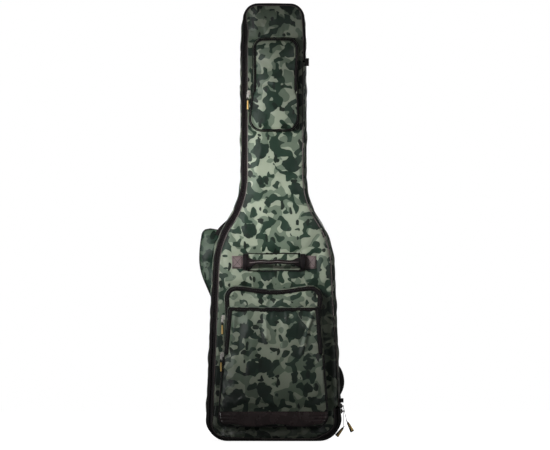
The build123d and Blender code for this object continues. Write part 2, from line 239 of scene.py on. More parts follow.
def store_place(mesh, offset=(0, 0, 0)):
    """Keeps each point's place at rest, moved by where the panel was cut from the printed cloth."""
    place = np.zeros(len(mesh.vertices) * 3, np.float32)
    mesh.vertices.foreach_get("co", place)
    place = place.reshape(-1, 3) + np.array(offset, np.float32)
    attribute = mesh.attributes.get("cloth_place")
    attribute = attribute or mesh.attributes.new("cloth_place", "FLOAT_VECTOR", "POINT")
    attribute.data.foreach_set("vector", place.astype(np.float32).ravel())


def swept_band(name, paths, depths, materials, closed=True, loop=False, offset=(0, 0, 0)):
    """Surface through a row of matching outlines, each at its own depth. loop joins last to first."""
    count = len(paths[0])
    points = []
    for path, depth in zip(paths, depths):
        depth = np.full(count, depth) if np.isscalar(depth) else depth
        points.append(np.stack([path[:, 0], depth, path[:, 1]], 1))
    rows = len(paths)
    faces = []
    for k in range(rows if loop else rows - 1):
        k2 = (k + 1) % rows
        for i in range(count if closed else count - 1):
            j = (i + 1) % count
            faces.append((k * count + i, k2 * count + i, k2 * count + j, k * count + j))
    if loop and not closed:
        faces.append(tuple(k * count for k in range(rows)))
        faces.append(tuple(k * count + count - 1 for k in range(rows - 1, -1, -1)))
    return finish_mesh(name, np.concatenate(points), faces, materials, offset=offset)


band_gap = 0.314  # metres between the bands of a wave texture whose scale is 1


def bare_material(name):
    """New material with an empty node tree."""
    material = bpy.data.materials.new(name)
    material.use_nodes = True
    material.node_tree.nodes.clear()
    return material, material.node_tree


def printed_nylon(name, gloss, pale, paler, middle):
    """Satin nylon printed with a woodland pattern of large patches, lobed blobs and small marks."""
    material, tree = bare_material(name)
    place = add_node(tree, "ShaderNodeAttribute", {"attribute_name": "cloth_place"}).outputs["Vector"]

    def warped(vector, size, amount, seed):
        """The place pushed about by noise, so that edges become wavy and lobed."""
        moved = add_node(tree, "ShaderNodeVectorMath", {"operation": "ADD"},
                         {0: vector, 1: (seed, seed, seed)})
        push = add_node(tree, "ShaderNodeTexNoise", None,
                        {"Vector": moved.outputs[0], "Scale": 1 / size, "Detail": 1.0})
        centred = add_node(tree, "ShaderNodeVectorMath", {"operation": "SUBTRACT"},
                           {0: push.outputs["Color"], 1: (0.5, 0.5, 0.5)})
        scaled = add_node(tree, "ShaderNodeVectorMath", {"operation": "SCALE"},
                          {0: centred.outputs[0], "Scale": amount})
        return add_node(tree, "ShaderNodeVectorMath", {"operation": "ADD"},
                        {0: vector, 1: scaled.outputs[0]}).outputs[0]

    def ink_mask(value, level, soft):
        """1 where a value is over a level, with a narrow soft edge like a screen print's."""
        return add_node(tree, "ShaderNodeMapRange", {"interpolation_type": "SMOOTHSTEP"},
                        {"Value": value, "From Min": level - soft, "From Max": level + soft}).outputs[0]

    def blobs(vector, cell, radius, share, stretch, seed):
        """Islands about two radii wide, one in some of the cells of a net."""
        placed = add_node(tree, "ShaderNodeMapping", None,
                          {"Vector": vector, "Location": (seed, seed * 0.7, seed * 1.3), "Scale": stretch})
        near = add_node(tree, "ShaderNodeTexVoronoi", {"feature": "F1"},
                        {"Vector": placed.outputs[0], "Scale": 1 / cell, "Randomness": 0.9})
        inside = add_node(tree, "ShaderNodeMath", {"operation": "SUBTRACT"},
                          {0: radius / cell, 1: near.outputs["Distance"]}).outputs[0]
        chosen = add_node(tree, "ShaderNodeSeparateColor", None, {"Color": near.outputs["Color"]}).outputs[0]
        return add_node(tree, "ShaderNodeMath", {"operation": "MULTIPLY"},
                        {0: ink_mask(inside, 0.0, 0.012), 1: ink_mask(chosen, 1 - share, 0.01)}).outputs[0]

    def cloudy(vector, size, level, seed):
        """Patches of a noise that stand above a level."""
        moved = add_node(tree, "ShaderNodeVectorMath", {"operation": "ADD"},
                         {0: vector, 1: (seed, 0.0, seed * 1.7)})
        value = add_node(tree, "ShaderNodeTexNoise", None,
                         {"Vector": moved.outputs[0], "Scale": 1 / size, "Detail": 0.0}).outputs["Fac"]
        return ink_mask(value, level, 0.008)

    swirled = warped(place, mm(46), mm(40), 3.1)
    lobed = warped(warped(place, mm(60), mm(24), 6.2), mm(17), mm(20), 7.7)
    mid_patches = cloudy(swirled, mm(28), 0.52, 1.3)
    leaves = cloudy(warped(place, mm(38), mm(38), 12.4), mm(22), 0.565, 4.6)
    dark_blobs = blobs(lobed, mm(64), mm(23), 0.72, (1, 1, 1), 5.3)
    drops = blobs(warped(place, mm(30), mm(20), 11.9), mm(22), mm(5.4), 0.60, (1.0, 1.0, 0.42), 1.9)
    curled = blobs(warped(place, mm(20), mm(18), 17.3), mm(26), mm(6.2), 0.50, (0.6, 1.0, 0.9), 8.8)
    marks = add_node(tree, "ShaderNodeMath", {"operation": "MAXIMUM"}, {0: drops, 1: curled}).outputs[0]

    faded = add_node(tree, "ShaderNodeTexNoise", None,
                     {"Vector": place, "Scale": 1 / mm(120), "Detail": 3.0}).outputs["Fac"]
    colour = add_node(tree, "ShaderNodeMix", {"data_type": "RGBA"},
                      {0: faded, 6: linear(pale), 7: linear(paler)}).outputs[2]
    inks = ((middle, mid_patches), ("#1e2f25", leaves), ("#16251d", dark_blobs), ("#111c15", marks))
    for ink, mask in inks:
        colour = add_node(tree, "ShaderNodeMix", {"data_type": "RGBA"},
                          {0: mask, 6: colour, 7: linear(ink)}).outputs[2]

    # Threads stand 0.45 mm apart on the real cloth; they are drawn 1.5 mm apart so that they show.
    threads = [add_node(tree, "ShaderNodeTexWave", {"bands_direction": direction},
                        {"Vector": place, "Scale": band_gap / mm(1.5), "Distortion": 0.4}).outputs["Fac"]
               for direction in ("X", "Z")]
    weave = add_node(tree, "ShaderNodeMath", {"operation": "MULTIPLY"},
                     {0: threads[0], 1: threads[1]}).outputs[0]
    creases = add_node(tree, "ShaderNodeTexNoise", None,
                       {"Vector": place, "Scale": 1 / mm(30), "Detail": 3.0, "Roughness": 0.55})
    height = add_node(tree, "ShaderNodeMath", {"operation": "MULTIPLY_ADD"},
                      {0: creases.outputs["Fac"], 1: 13.0, 2: weave}).outputs[0]
    bump = add_node(tree, "ShaderNodeBump", None, {"Height": height, "Strength": 0.35, "Distance": mm(0.35)})
    shine = add_node(tree, "ShaderNodeMapRange", None,
                     {"Value": creases.outputs["Fac"], "To Min": gloss - 0.06, "To Max": gloss + 0.10})
    shader = add_node(tree, "ShaderNodeBsdfPrincipled", None,
                      {"Base Color": colour, "Roughness": shine.outputs[0], "Normal": bump.outputs[0],
                       "Specular IOR Level": 0.42, "Sheen Weight": 0.02})
    add_node(tree, "ShaderNodeOutputMaterial", None, {"Surface": shader.outputs[0]})
    return material


def woven_tape(name, colour, highlight, rib, gloss):
    """Plain woven nylon tape or cloth: cross ribs a set distance apart, with a dull sheen."""
    material, tree = bare_material(name)
    place = add_node(tree, "ShaderNodeAttribute", {"attribute_name": "cloth_place"}).outputs["Vector"]
    # Real ribs stand at most half as far apart; they are drawn this coarse so that they show.
    ribs = add_node(tree, "ShaderNodeTexWave", {"bands_direction": "DIAGONAL"},
                    {"Vector": place, "Scale": band_gap / rib, "Distortion": 0.6, "Detail": 1.0})
    cloud = add_node(tree, "ShaderNodeTexNoise", None,
                     {"Vector": place, "Scale": 1 / mm(45), "Detail": 4.0})
    mix = add_node(tree, "ShaderNodeMix", {"data_type": "RGBA"},
                   {0: cloud.outputs["Fac"], 6: linear(colour), 7: linear(highlight)})
    bump = add_node(tree, "ShaderNodeBump", None,
                    {"Height": ribs.outputs["Fac"], "Strength": 0.5, "Distance": mm(0.3)})
    shader = add_node(tree, "ShaderNodeBsdfPrincipled", None,
                      {"Base Color": mix.outputs[2], "Roughness": gloss, "Normal": bump.outputs[0],
                       "Specular IOR Level": 0.3, "Sheen Weight": 0.01})
    add_node(tree, "ShaderNodeOutputMaterial", None, {"Surface": shader.outputs[0]})
    return material


# The print gives the eye soft-edged greens from sage to near black, under a satin sheen that breaks
# over the puckers. The strap pads get a darker copy of the print, painted shade that makes them sit back
# behind the bag.
camo = printed_nylon("camouflage print on satin nylon", 0.30, "#7c8575", "#8f9784", "#5c6859")
painted_shade_camo = printed_nylon("camouflage print with painted shade on satin nylon", 0.22, "#3c4b3e", "#4a5849", "#27362b")
# Black nylon, zip tape and lining give three blacks: a firm one with a faint rib, a flatter one
# beside the coil, and a dull grey-black that soaks up light inside.
black_nylon = woven_tape("black ballistic nylon", "#0b090b", "#171416", mm(1.6), 0.5)
zip_cloth = woven_tape("woven zip tape", "#0c090a", "#181314", mm(1.2), 0.55)
plush = woven_tape("black brushed lining", "#1b1b1d", "#2f2f33", mm(2.2), 0.9)

bag_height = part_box("top_gusset")[1].z
neck_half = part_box("top_gusset")[1].x
bag_corners = [(mm(10) - neck_half, bag_height), (neck_half - mm(7), bag_height), (neck_half, mm(1132)),
               (neck_half, mm(682)), mm(169, 566), mm(193, 0), mm(-193, 0), mm(-169, 566),
               (-neck_half, mm(682)), (-neck_half, mm(1128))]
bag_radii = mm(40, 40, 300, 224, 252, 60, 60, 252, 224, 300)
outline = rounded_path(bag_corners, bag_radii)
outline_normals = outward_normals(outline)


def bag_path(inset):
    """The bag's outline brought in by an inset, or by one inset for each point."""
    inset = np.full(len(outline), inset) if np.isscalar(inset) else inset
    return outline - outline_normals * inset[:, None]


wall_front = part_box("side_gusset_left")[0].y
wall_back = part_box("back_panel")[1].y - mm(3)
on_foot = np.clip(1 - outline[:, 1] / mm(40), 0, 1)
on_top = np.clip((outline[:, 1] - bag_height + mm(60)) / mm(50), 0, 1)
puff = mm(2.2) * (1 - on_foot) * (1 - 0.5 * on_top)
waves = puff * 0.55 * (np.sin(outline[:, 1] * 41 + 1.0) + np.sin(outline[:, 1] * 97 + outline[:, 0] * 30))
wall_insets = [mm(3.0), mm(1.2), -puff * 0.7 + waves * 0.6, -puff + waves, -puff - waves * 0.5,
               mm(0.6), mm(2.2)]
wall_depths = [wall_front, wall_front + mm(3), mm(-18), mm(2), mm(20), wall_back - mm(4), wall_back]
inner_insets = [mm(10), mm(12), mm(12), mm(11)]
inner_depths = [wall_back - mm(8), mm(30), mm(-24), wall_front + mm(0.5)]
top_panel_reach, foot_panel_reach = mm(38.5, 60.5)
is_top = outline[:, 1] > bag_height - top_panel_reach
is_foot = outline[:, 1] < foot_panel_reach
wall_parts = {
    "side_gusset_left": (outline[:, 0] < 0) & ~is_top & ~is_foot,
    "side_gusset_right": (outline[:, 0] > 0) & ~is_top & ~is_foot,
    "top_gusset": is_top,
    "bottom_gusset": is_foot,
}


def run_of(mask):
    """Indices of one unbroken run round the outline, with one point more at each end."""
    starts = np.flatnonzero(mask & ~np.roll(mask, 1))
    first = starts[0]
    count = int(mask.sum())
    return (np.arange(-1, count + 1) + first) % len(mask)


for node, mask in wall_parts.items():
    run = run_of(mask)
    insets = wall_insets + inner_insets
    paths = [bag_path(inset)[run] for inset in insets]
    cloth = camo if node.startswith("side") else black_nylon
    wall = swept_band(node + "_cloth", paths, wall_depths + inner_depths, [cloth, plush],
                      closed=False, loop=True, offset=(0.31, 0.07, 0.0))
    columns = len(run) - 1
    inner_from = columns * (len(wall_insets) - 1)
    for polygon in wall.data.polygons:
        polygon.material_index = 1 if polygon.index >= inner_from else 0
    fit(wall, "shell", "camo_nylon" if node.startswith("side") else "black_nylon", node, fill=0.6)

# ---- Main zip: shell tape, lid tape and coils ---------------------------------------------
# A wide black nylon coil zip sewn to the shell and to the lid, from the neck's right edge all
# the way round to low on the right. Each tape carries its own half of the coil.


def path_to_curve_tree(name, inputs):
    """New tree that turns a row of joined points into a curve, with named inputs for its sizes."""
    tree = bpy.data.node_groups.new(name, "GeometryNodeTree")
    tree.interface.new_socket("Geometry", in_out="OUTPUT", socket_type="NodeSocketGeometry")
    tree.interface.new_socket("Geometry", in_out="INPUT", socket_type="NodeSocketGeometry")
    for input_name, kind in inputs:
        tree.interface.new_socket(input_name, in_out="INPUT", socket_type=kind)
    tree.interface.new_socket("Material", in_out="INPUT", socket_type="NodeSocketMaterial")
    entry = add_node(tree, "NodeGroupInput")
    curve = add_node(tree, "GeometryNodeMeshToCurve", None, {"Mesh": entry.outputs["Geometry"]})
    return tree, entry, curve.outputs["Curve"]


def end_tree(tree, entry, geometry):
    """Makes instances real, gives them the material and hands them out."""
    real = add_node(tree, "GeometryNodeRealizeInstances", None, {"Geometry": geometry})
    finished = add_node(tree, "GeometryNodeSetMaterial", None,
                        {"Geometry": real.outputs[0], "Material": entry.outputs["Material"]})
    add_node(tree, "NodeGroupOutput", None, {"Geometry": finished.outputs[0]})


def beads_tree():
    """Small rounded beads at an even spacing along a path: stitches, zip coils, chain links."""
    sizes = [("Spacing", "NodeSocketFloat"), ("Bead size", "NodeSocketVector")]
    tree, entry, curve = path_to_curve_tree("beads along a path", sizes)
    points = add_node(tree, "GeometryNodeCurveToPoints", {"mode": "LENGTH"},
                      {"Curve": curve, "Length": entry.outputs["Spacing"]})
    bead = add_node(tree, "GeometryNodeMeshUVSphere", None, {"Segments": 6, "Rings": 4, "Radius": 0.5})
    placed = add_node(tree, "GeometryNodeInstanceOnPoints", None,
                      {"Points": points.outputs["Points"], "Instance": bead.outputs["Mesh"],
                       "Rotation": points.outputs["Rotation"], "Scale": entry.outputs["Bead size"]})
    end_tree(tree, entry, placed.outputs[0])
    return tree


def edge_cord_tree():
    """Round cord along a path: piping, bound edges and folded wire."""
    tree, entry, curve = path_to_curve_tree("cord along a path", [("Radius", "NodeSocketFloat")])
    circle = add_node(tree, "GeometryNodeCurvePrimitiveCircle", None,
                      {"Resolution": 8, "Radius": entry.outputs["Radius"]})
    tube = add_node(tree, "GeometryNodeCurveToMesh", None,
                    {"Curve": curve, "Profile Curve": circle.outputs[0], "Fill Caps": True})
    end_tree(tree, entry, tube.outputs[0])
    return tree


def path_tree_piece(name, tree, paths, closed, values, offset=(0, 0, 0)):
    """Runs a path tree over one or more rows of points and keeps the result as a plain mesh."""
    points, edges = [], []
    for path in paths:
        first = len(points)
        points += [tuple(p) for p in path]
        edges += [(first + i, first + i + 1) for i in range(len(path) - 1)]
        if closed:
            edges.append((len(points) - 1, first))
    mesh = bpy.data.meshes.new(name + "_path")
    mesh.from_pydata(points, edges, [])
    holder = bpy.data.objects.new(name + "_path", mesh)
    bpy.context.scene.collection.objects.link(holder)
    modifier = holder.modifiers.new("made", "NODES")
    modifier.node_group = tree
    for item in tree.interface.items_tree:
        if item.in_out == "INPUT" and item.name in values:
            modifier[item.identifier] = values[item.name]
    shot = holder.evaluated_get(bpy.context.evaluated_depsgraph_get())
    made = bpy.data.meshes.new_from_object(shot)
    bpy.data.objects.remove(holder)
    bpy.data.meshes.remove(mesh)
    made.name = name
    store_place(made, offset)
    made.polygons.foreach_set("use_smooth", [True] * len(made.polygons))
    piece = bpy.data.objects.new(name, made)
    bpy.context.scene.collection.objects.link(piece)
    return piece


beads = beads_tree()
edge_cord = edge_cord_tree()


def stitch_line(name, paths, body, material, closed=False, stitch=mm(3.2), gap=mm(1.6), width=mm(0.9)):
    """Row of thread stitches lying on a surface, drawn about twice as thick as real thread to show."""
    piece = path_tree_piece(name, beads, paths, closed,
                            {"Spacing": stitch + gap, "Bead size": (width, width, stitch),
                             "Material": material})
    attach(piece, body)
    return piece


def at_depth(path, depth):
    """Outline points as places, at one depth or one for each point."""
    depth = np.full(len(path), depth) if np.isscalar(depth) else depth
    return np.stack([path[:, 0], depth, path[:, 1]], 1)


def smooth_step(value, low, high):
    """0 below low, 1 above high, smooth between."""
    share = np.clip((value - low) / (high - low), 0, 1)
    return share * share * (3 - 2 * share)


hinge_low, hinge_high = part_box("hinge_side_border")[0].z, mm(1076)
hinge_side = (outline[:, 0] > 0) & (outline[:, 1] > hinge_low) & (outline[:, 1] < hinge_high)
zip_run = run_of(~hinge_side)[1:-1]
zip_middle = mm(9.15)
ripple = mm(0.5) * np.sin(outline[:, 1] * 60 + outline[:, 0] * 45)
ripple *= smooth_step(outline[:, 1], mm(20), mm(60))

# The zip lies on the face along the left and round the two sliders, and rolls out on to the side
# over the top, down the neck's right edge and under the foot, where less of it is seen.
on_left = smooth_step(-outline[:, 0], mm(20), mm(60)) * smooth_step(-outline[:, 1], mm(-1212), mm(-1150))
on_left *= 0.25 + 0.75 * smooth_step(outline[:, 1], mm(6), mm(70))
by_sliders = smooth_step(outline[:, 0], mm(110), mm(150)) * smooth_step(-outline[:, 1], mm(-500), mm(-400))
rolled = 0.42 + 0.58 * np.maximum(on_left, by_sliders)

band_profiles = {
    "shell": [(1.6, -33), (0.9, -36), (1.5, -38.6), (4.5, -40.2), (8.6, -41.2), (8.8, -39.5), (7.5, -35.5),
              (7.0, -33)],
    "lid": [(9.5, -41.2), (11.5, -43.4), (15.5, -45.2), (17.6, -45.6), (17.6, -42), (12, -40.5),
            (9.7, -39.8)],
}
for body, profile in band_profiles.items():
    paths = [bag_path(mm(d) * rolled + ripple)[zip_run] for d, y in profile]
    zip_side = swept_band(body + "_zip_tape_cloth", paths, [mm(y) for d, y in profile], [zip_cloth],
                          closed=False, loop=True)
    fit(zip_side, body, "black_nylon", body + "_zip_tape")

# The nylon coil is harder and shinier than its tape, so it shows as a row of fine glints. Its turns
# stand 1.5 mm apart on the real zip; they are drawn 2.6 mm apart so that they show.
coil_nylon = woven_tape("moulded black zip coil", "#100d0e", "#242022", mm(1.5), 0.32)
for body, shift, depth in (("shell", -0.9, -41.4), ("lid", 0.9, -41.7)):
    coil_path = at_depth(bag_path((zip_middle + mm(shift)) * rolled)[zip_run], mm(depth))
    coil = path_tree_piece(body + "_zip_coil", beads, [coil_path], False,
                           {"Spacing": mm(2.6), "Bead size": mm(2.6, 1.3, 1.7), "Material": coil_nylon})
    fit(coil, body, "black_nylon")

# ---- Front panel of the lid with its lining -----------------------------------------------
# Printed nylon over foam, sewn into the zip all round and held down by the pockets. Between the
# zip's two ends the cloth runs on over the fold to the edge of the shell, where the real cloth bends as the
# lid opens.


def row_bounds(path, z):
    """Leftmost and rightmost x of a closed outline at a height."""
    ahead = np.roll(path, -1, 0)
    crosses = (path[:, 1] - z) * (ahead[:, 1] - z) <= 0
    first, last = path[crosses], ahead[crosses]
    share = (z - first[:, 1]) / np.where(first[:, 1] == last[:, 1], 1, last[:, 1] - first[:, 1])
    x = first[:, 0] + share * (last[:, 0] - first[:, 0])
    return x.min(), x.max()


def wrinkle(x, z, size, seed, stretch=(1.0, 1.0)):
    """Soft random height between about -1 and 1, for each place on a panel."""
    flat = zip(np.ravel(x) * stretch[0] / size, np.ravel(z) * stretch[1] / size)
    values = [noise.fractal(Vector((a, seed, b)), 1.0, 2.2, 2.5) for a, b in flat]
    return np.reshape(values, np.shape(x))


def padded_slab(name, lefts, rights, heights, columns, front, back, cloths, offset, squeeze=mm(1.5)):
    """Closed padded panel on a net of rows. front(x, z, d) is the depth of its face, d from the edge.

    back is one depth, or a function like front."""
    share = np.linspace(0, 1, columns + 1)
    z = np.repeat(np.asarray(heights)[:, None], columns + 1, 1)
    x = np.asarray(lefts)[:, None] * (1 - share) + np.asarray(rights)[:, None] * share
    d = np.minimum.reduce([x - x[:, :1], x[:, -1:] - x, z - z[0].min(), z[-1].max() - z])
    face = np.stack([x, front(x, z, d), z], 2).reshape(-1, 3)
    inner_x = x - np.sign(x - x.mean(1, keepdims=True)) * squeeze * (d < mm(3))
    depth = back(x, z, d) if callable(back) else np.full_like(x, back)
    rear = np.stack([inner_x, depth, z], 2).reshape(-1, 3)
    rows = len(x)
    count = len(face)
    faces, kinds = [], []

    def number(r, c, side):
        return side * count + r * (columns + 1) + c

    for r in range(rows - 1):
        for c in range(columns):
            front_quad = ((0, 0), (0, 1), (1, 1), (1, 0))
            back_quad = ((0, 0), (1, 0), (1, 1), (0, 1))
            for side, corners in enumerate((front_quad, back_quad)):
                faces.append(tuple(number(r + dr, c + dc, side) for dr, dc in corners))
                kinds.append(side)
    rim = [(r, 0) for r in range(rows - 1, 0, -1)] + [(0, c) for c in range(columns)]
    rim += [(r, columns) for r in range(rows - 1)] + [(rows - 1, c) for c in range(columns, 0, -1)]
    for (r, c), (r2, c2) in zip(rim, rim[1:] + rim[:1]):
        faces.append((number(r, c, 0), number(r, c, 1), number(r2, c2, 1), number(r2, c2, 0)))
        kinds.append(0)
    piece = finish_mesh(name, np.concatenate([face, rear]), faces, cloths, offset=offset)
    piece.data.polygons.foreach_set("material_index", kinds)
    free = np.zeros(2 * count, bool)
    free[:count] = (d > mm(4)).ravel()
    return piece, free


def billow(piece, free, pressure, slack, cap, stiffness=12.0, bending=0.4, frames=20):
    """Blows a padded cloth up with its seams held, then keeps the shape. cap limits each move."""
    count = len(piece.data.vertices)
    rest = np.zeros(count * 3, np.float32)
    piece.data.vertices.foreach_get("co", rest)
    rest = rest.reshape(-1, 3)
    held = piece.vertex_groups.new(name="held")
    held.add([int(i) for i in np.flatnonzero(~free)], 1.0, "REPLACE")
    cloth = piece.modifiers.new("blown", "CLOTH")
    settings = cloth.settings
    settings.quality = 4
    settings.mass = 0.25
    settings.tension_stiffness = stiffness
    settings.compression_stiffness = stiffness
    settings.shear_stiffness = stiffness / 2
    settings.bending_stiffness = bending
    settings.shrink_min = -slack
    settings.effector_weights.gravity = 0
    settings.use_pressure = True
    settings.uniform_pressure_force = pressure
    settings.vertex_group_mass = "held"
    cloth.point_cache.frame_start = 1
    cloth.point_cache.frame_end = frames
    for frame_number in range(1, frames + 1):
        bpy.context.scene.frame_set(frame_number)
    shot = piece.evaluated_get(bpy.context.evaluated_depsgraph_get())
    blown = np.zeros(count * 3, np.float32)
    shot.data.vertices.foreach_get("co", blown)
    move = blown.reshape(-1, 3) - rest
    far = np.linalg.norm(move, axis=1, keepdims=True)
    move *= np.minimum(1, cap / np.maximum(far, 1e-9))
    piece.modifiers.remove(cloth)
    piece.vertex_groups.remove(held)
    piece.data.vertices.foreach_set("co", (rest + move).astype(np.float32).ravel())
    piece.data.update()
    bpy.context.scene.frame_set(1)


def beyond(x, z, boxes, reach):
    """0 inside the boxes of sewn-down pieces, rising to 1 at a reach outside them."""
    result = np.ones_like(x)
    for low, high in boxes:
        aside = np.maximum.reduce([low.x - x, x - high.x, np.zeros_like(x)])
        above = np.maximum.reduce([low.z - z, z - high.z, np.zeros_like(x)])
        result = np.minimum(result, smooth_step(np.hypot(aside, above), 0, reach))
    return result


sewn_down = [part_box(node) for node in ("neck_pocket_gusset", "large_pocket_gusset", "handle_patches",
                                        "handle_backing")]
lid_edge = mm(19.5)
lid_path = bag_path(lid_edge * rolled)
neck_roll = mm(4.6) * smooth_step(outline[:, 1], mm(200), mm(420))
neck_roll *= smooth_step(-outline[:, 1], mm(-1150), mm(-1095))
edge_path = bag_path(mm(5.8) + neck_roll)
front_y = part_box("front_panel")[0].y
lining_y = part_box("lid_lining")[1].y


def lid_rows():
    """Heights and side bounds of the front panel's rows, out to the edge between the zip's ends."""
    heights = np.linspace(lid_path[:, 1].min() + mm(0.3), lid_path[:, 1].max() - mm(0.3), 236)
    lefts, rights = [], []
    for z in heights:
        left, right = row_bounds(lid_path, z)
        wide = row_bounds(edge_path, z)[1]
        out = smooth_step(z, hinge_low - mm(7), hinge_low + mm(5)) * smooth_step(-z, mm(-1086), mm(-1074))
        lefts.append(left)
        rights.append(right * (1 - out) + wide * out)
    return heights, lefts, rights


def lid_face(x, z, d):
    """Depth of the front: padded up from its seams, with long folds, small puckers along the
    seams and one crease across the neck where the empty bag bends."""
    swell = mm(3.2) * (1 - np.exp(-d / mm(13)))
    long_folds = wrinkle(x, z, mm(80), 4.0, (1.0, 0.45)) * mm(4.2)
    small_folds = wrinkle(x, z, mm(32), 9.0, (1.0, 0.7)) * mm(1.8)
    puckers = np.sin(z * 390) * mm(0.45) * np.exp(-d / mm(9))
    fade = np.minimum(1, d / mm(8)) * beyond(x, z, sewn_down, mm(22))
    swell *= beyond(x, z, sewn_down, mm(16))
    on_crease = smooth_step(x, mm(-22), mm(4)) * smooth_step(-x, mm(-66), mm(-48))
    crease = mm(3.5) * on_crease * np.exp(-((z - mm(746) - x * 0.14) / mm(4.5)) ** 2)
    folds = (long_folds + small_folds) * fade + puckers * np.minimum(1, d / mm(2))
    return front_y + mm(0.6) - swell + folds + crease


lid_heights, lid_lefts, lid_rights = lid_rows()
lid_front, lid_free = padded_slab("front_panel_cloth", lid_lefts, lid_rights, lid_heights, 72, lid_face,
                                  lining_y, [camo, plush], (0, 0, 0))
lid_points = np.array([vertex.co for vertex in lid_front.data.vertices])
lid_free &= beyond(lid_points[:, 0], lid_points[:, 2], sewn_down, mm(3)) > 0.5
billow(lid_front, lid_free, 1.6, 0.012, mm(3.5))
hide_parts("front_panel", "lid_lining", "hinge_side_border")
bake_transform(lid_front)

# ---- Piping along the seams of the lid and the back ---------------------------------------
# Cotton cord 3 mm thick wrapped in a strip of binding and sewn into each long seam. The front
# one is a paler grey, painted highlight on a dark cord; the back one is black. The neck's right edge opens
# with the lid.

# The grey satin cord draws a thin pale line along the seams, painted highlight; the black one only deepens
# them.
highlight_grey_binding = woven_tape("grey-brown satin binding", "#4b4444", "#776c6b", mm(1.4), 0.42)
black_binding = woven_tape("black satin binding", "#0b090a", "#1a1617", mm(1.4), 0.40)


def piping_run(name, path, body, material, slot, radius=mm(1.6), closed=False):
    """One length of piping."""
    piece = path_tree_piece(name, edge_cord, [path], closed, {"Radius": radius, "Material": material})
    fit(piece, body, slot)
    return piece


neck_foot = mm(602)
hinge_run = run_of(hinge_side)[1:-1]
hinge_points = at_depth(bag_path(mm(4.4) + neck_roll), mm(-46.8))[hinge_run]
lid_seam = piping_run("lid_piping_cord", at_depth(bag_path(mm(18.4) * rolled), mm(-46.2))[zip_run], "lid",
                      highlight_grey_binding, "piping", mm(1.3))
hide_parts("lid_piping")
piping_run("neck_edge_piping", hinge_points[hinge_points[:, 2] > neck_foot + mm(1)], "lid", highlight_grey_binding,
           "piping", mm(1.3))
body_edge = piping_run("hinge_edge_piping", hinge_points[hinge_points[:, 2] < neck_foot - mm(1)], "shell",
                       highlight_grey_binding, "piping", mm(1.3))
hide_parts("hinge_side_piping")
back_seam = piping_run("back_piping_cord", at_depth(bag_path(mm(1.2)), mm(45.2)), "shell", black_binding,
                       "piping", mm(1.8), closed=True)
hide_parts("back_piping")

# Cloth between the side and the lid's edge on the neck, as it lies folded flat when shut; on the real bag it
# stretches when the lid opens.
web_profile = [(3.2, 0, -32.5), (2.2, 0, -36), (2.6, 0, -40), (3.6, 0.2, -44), (5.2, 0.9, -46.6),
               (7.4, 1, -45.5), (6.2, 0.6, -40), (5.4, 0, -33)]
web_paths = [bag_path(mm(d) + roll * neck_roll)[hinge_run] for d, roll, y in web_profile]
hinge_web = swept_band("hinge_web_cloth", web_paths, [mm(y) for d, roll, y in web_profile], [camo],
                       closed=False, loop=True)
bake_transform(hinge_web)

# ---- Pockets ------------------------------------------------------------------------------
# Each pocket is a gusset sewn to the panel behind, a black zip band round its front edge and a
# padded face. On the real bag the face's top part folds down when its zip is undone; here it is built shut.


def settle(piece, drop):
    """Lets the upper edge hang lower in the middle, as an unfilled pocket does."""
    for vertex in piece.data.vertices:
        vertex.co.z -= drop(vertex.co.x, vertex.co.z)


def no_drop(x, z):
    """A pocket whose edge stays straight."""
    return 0.0


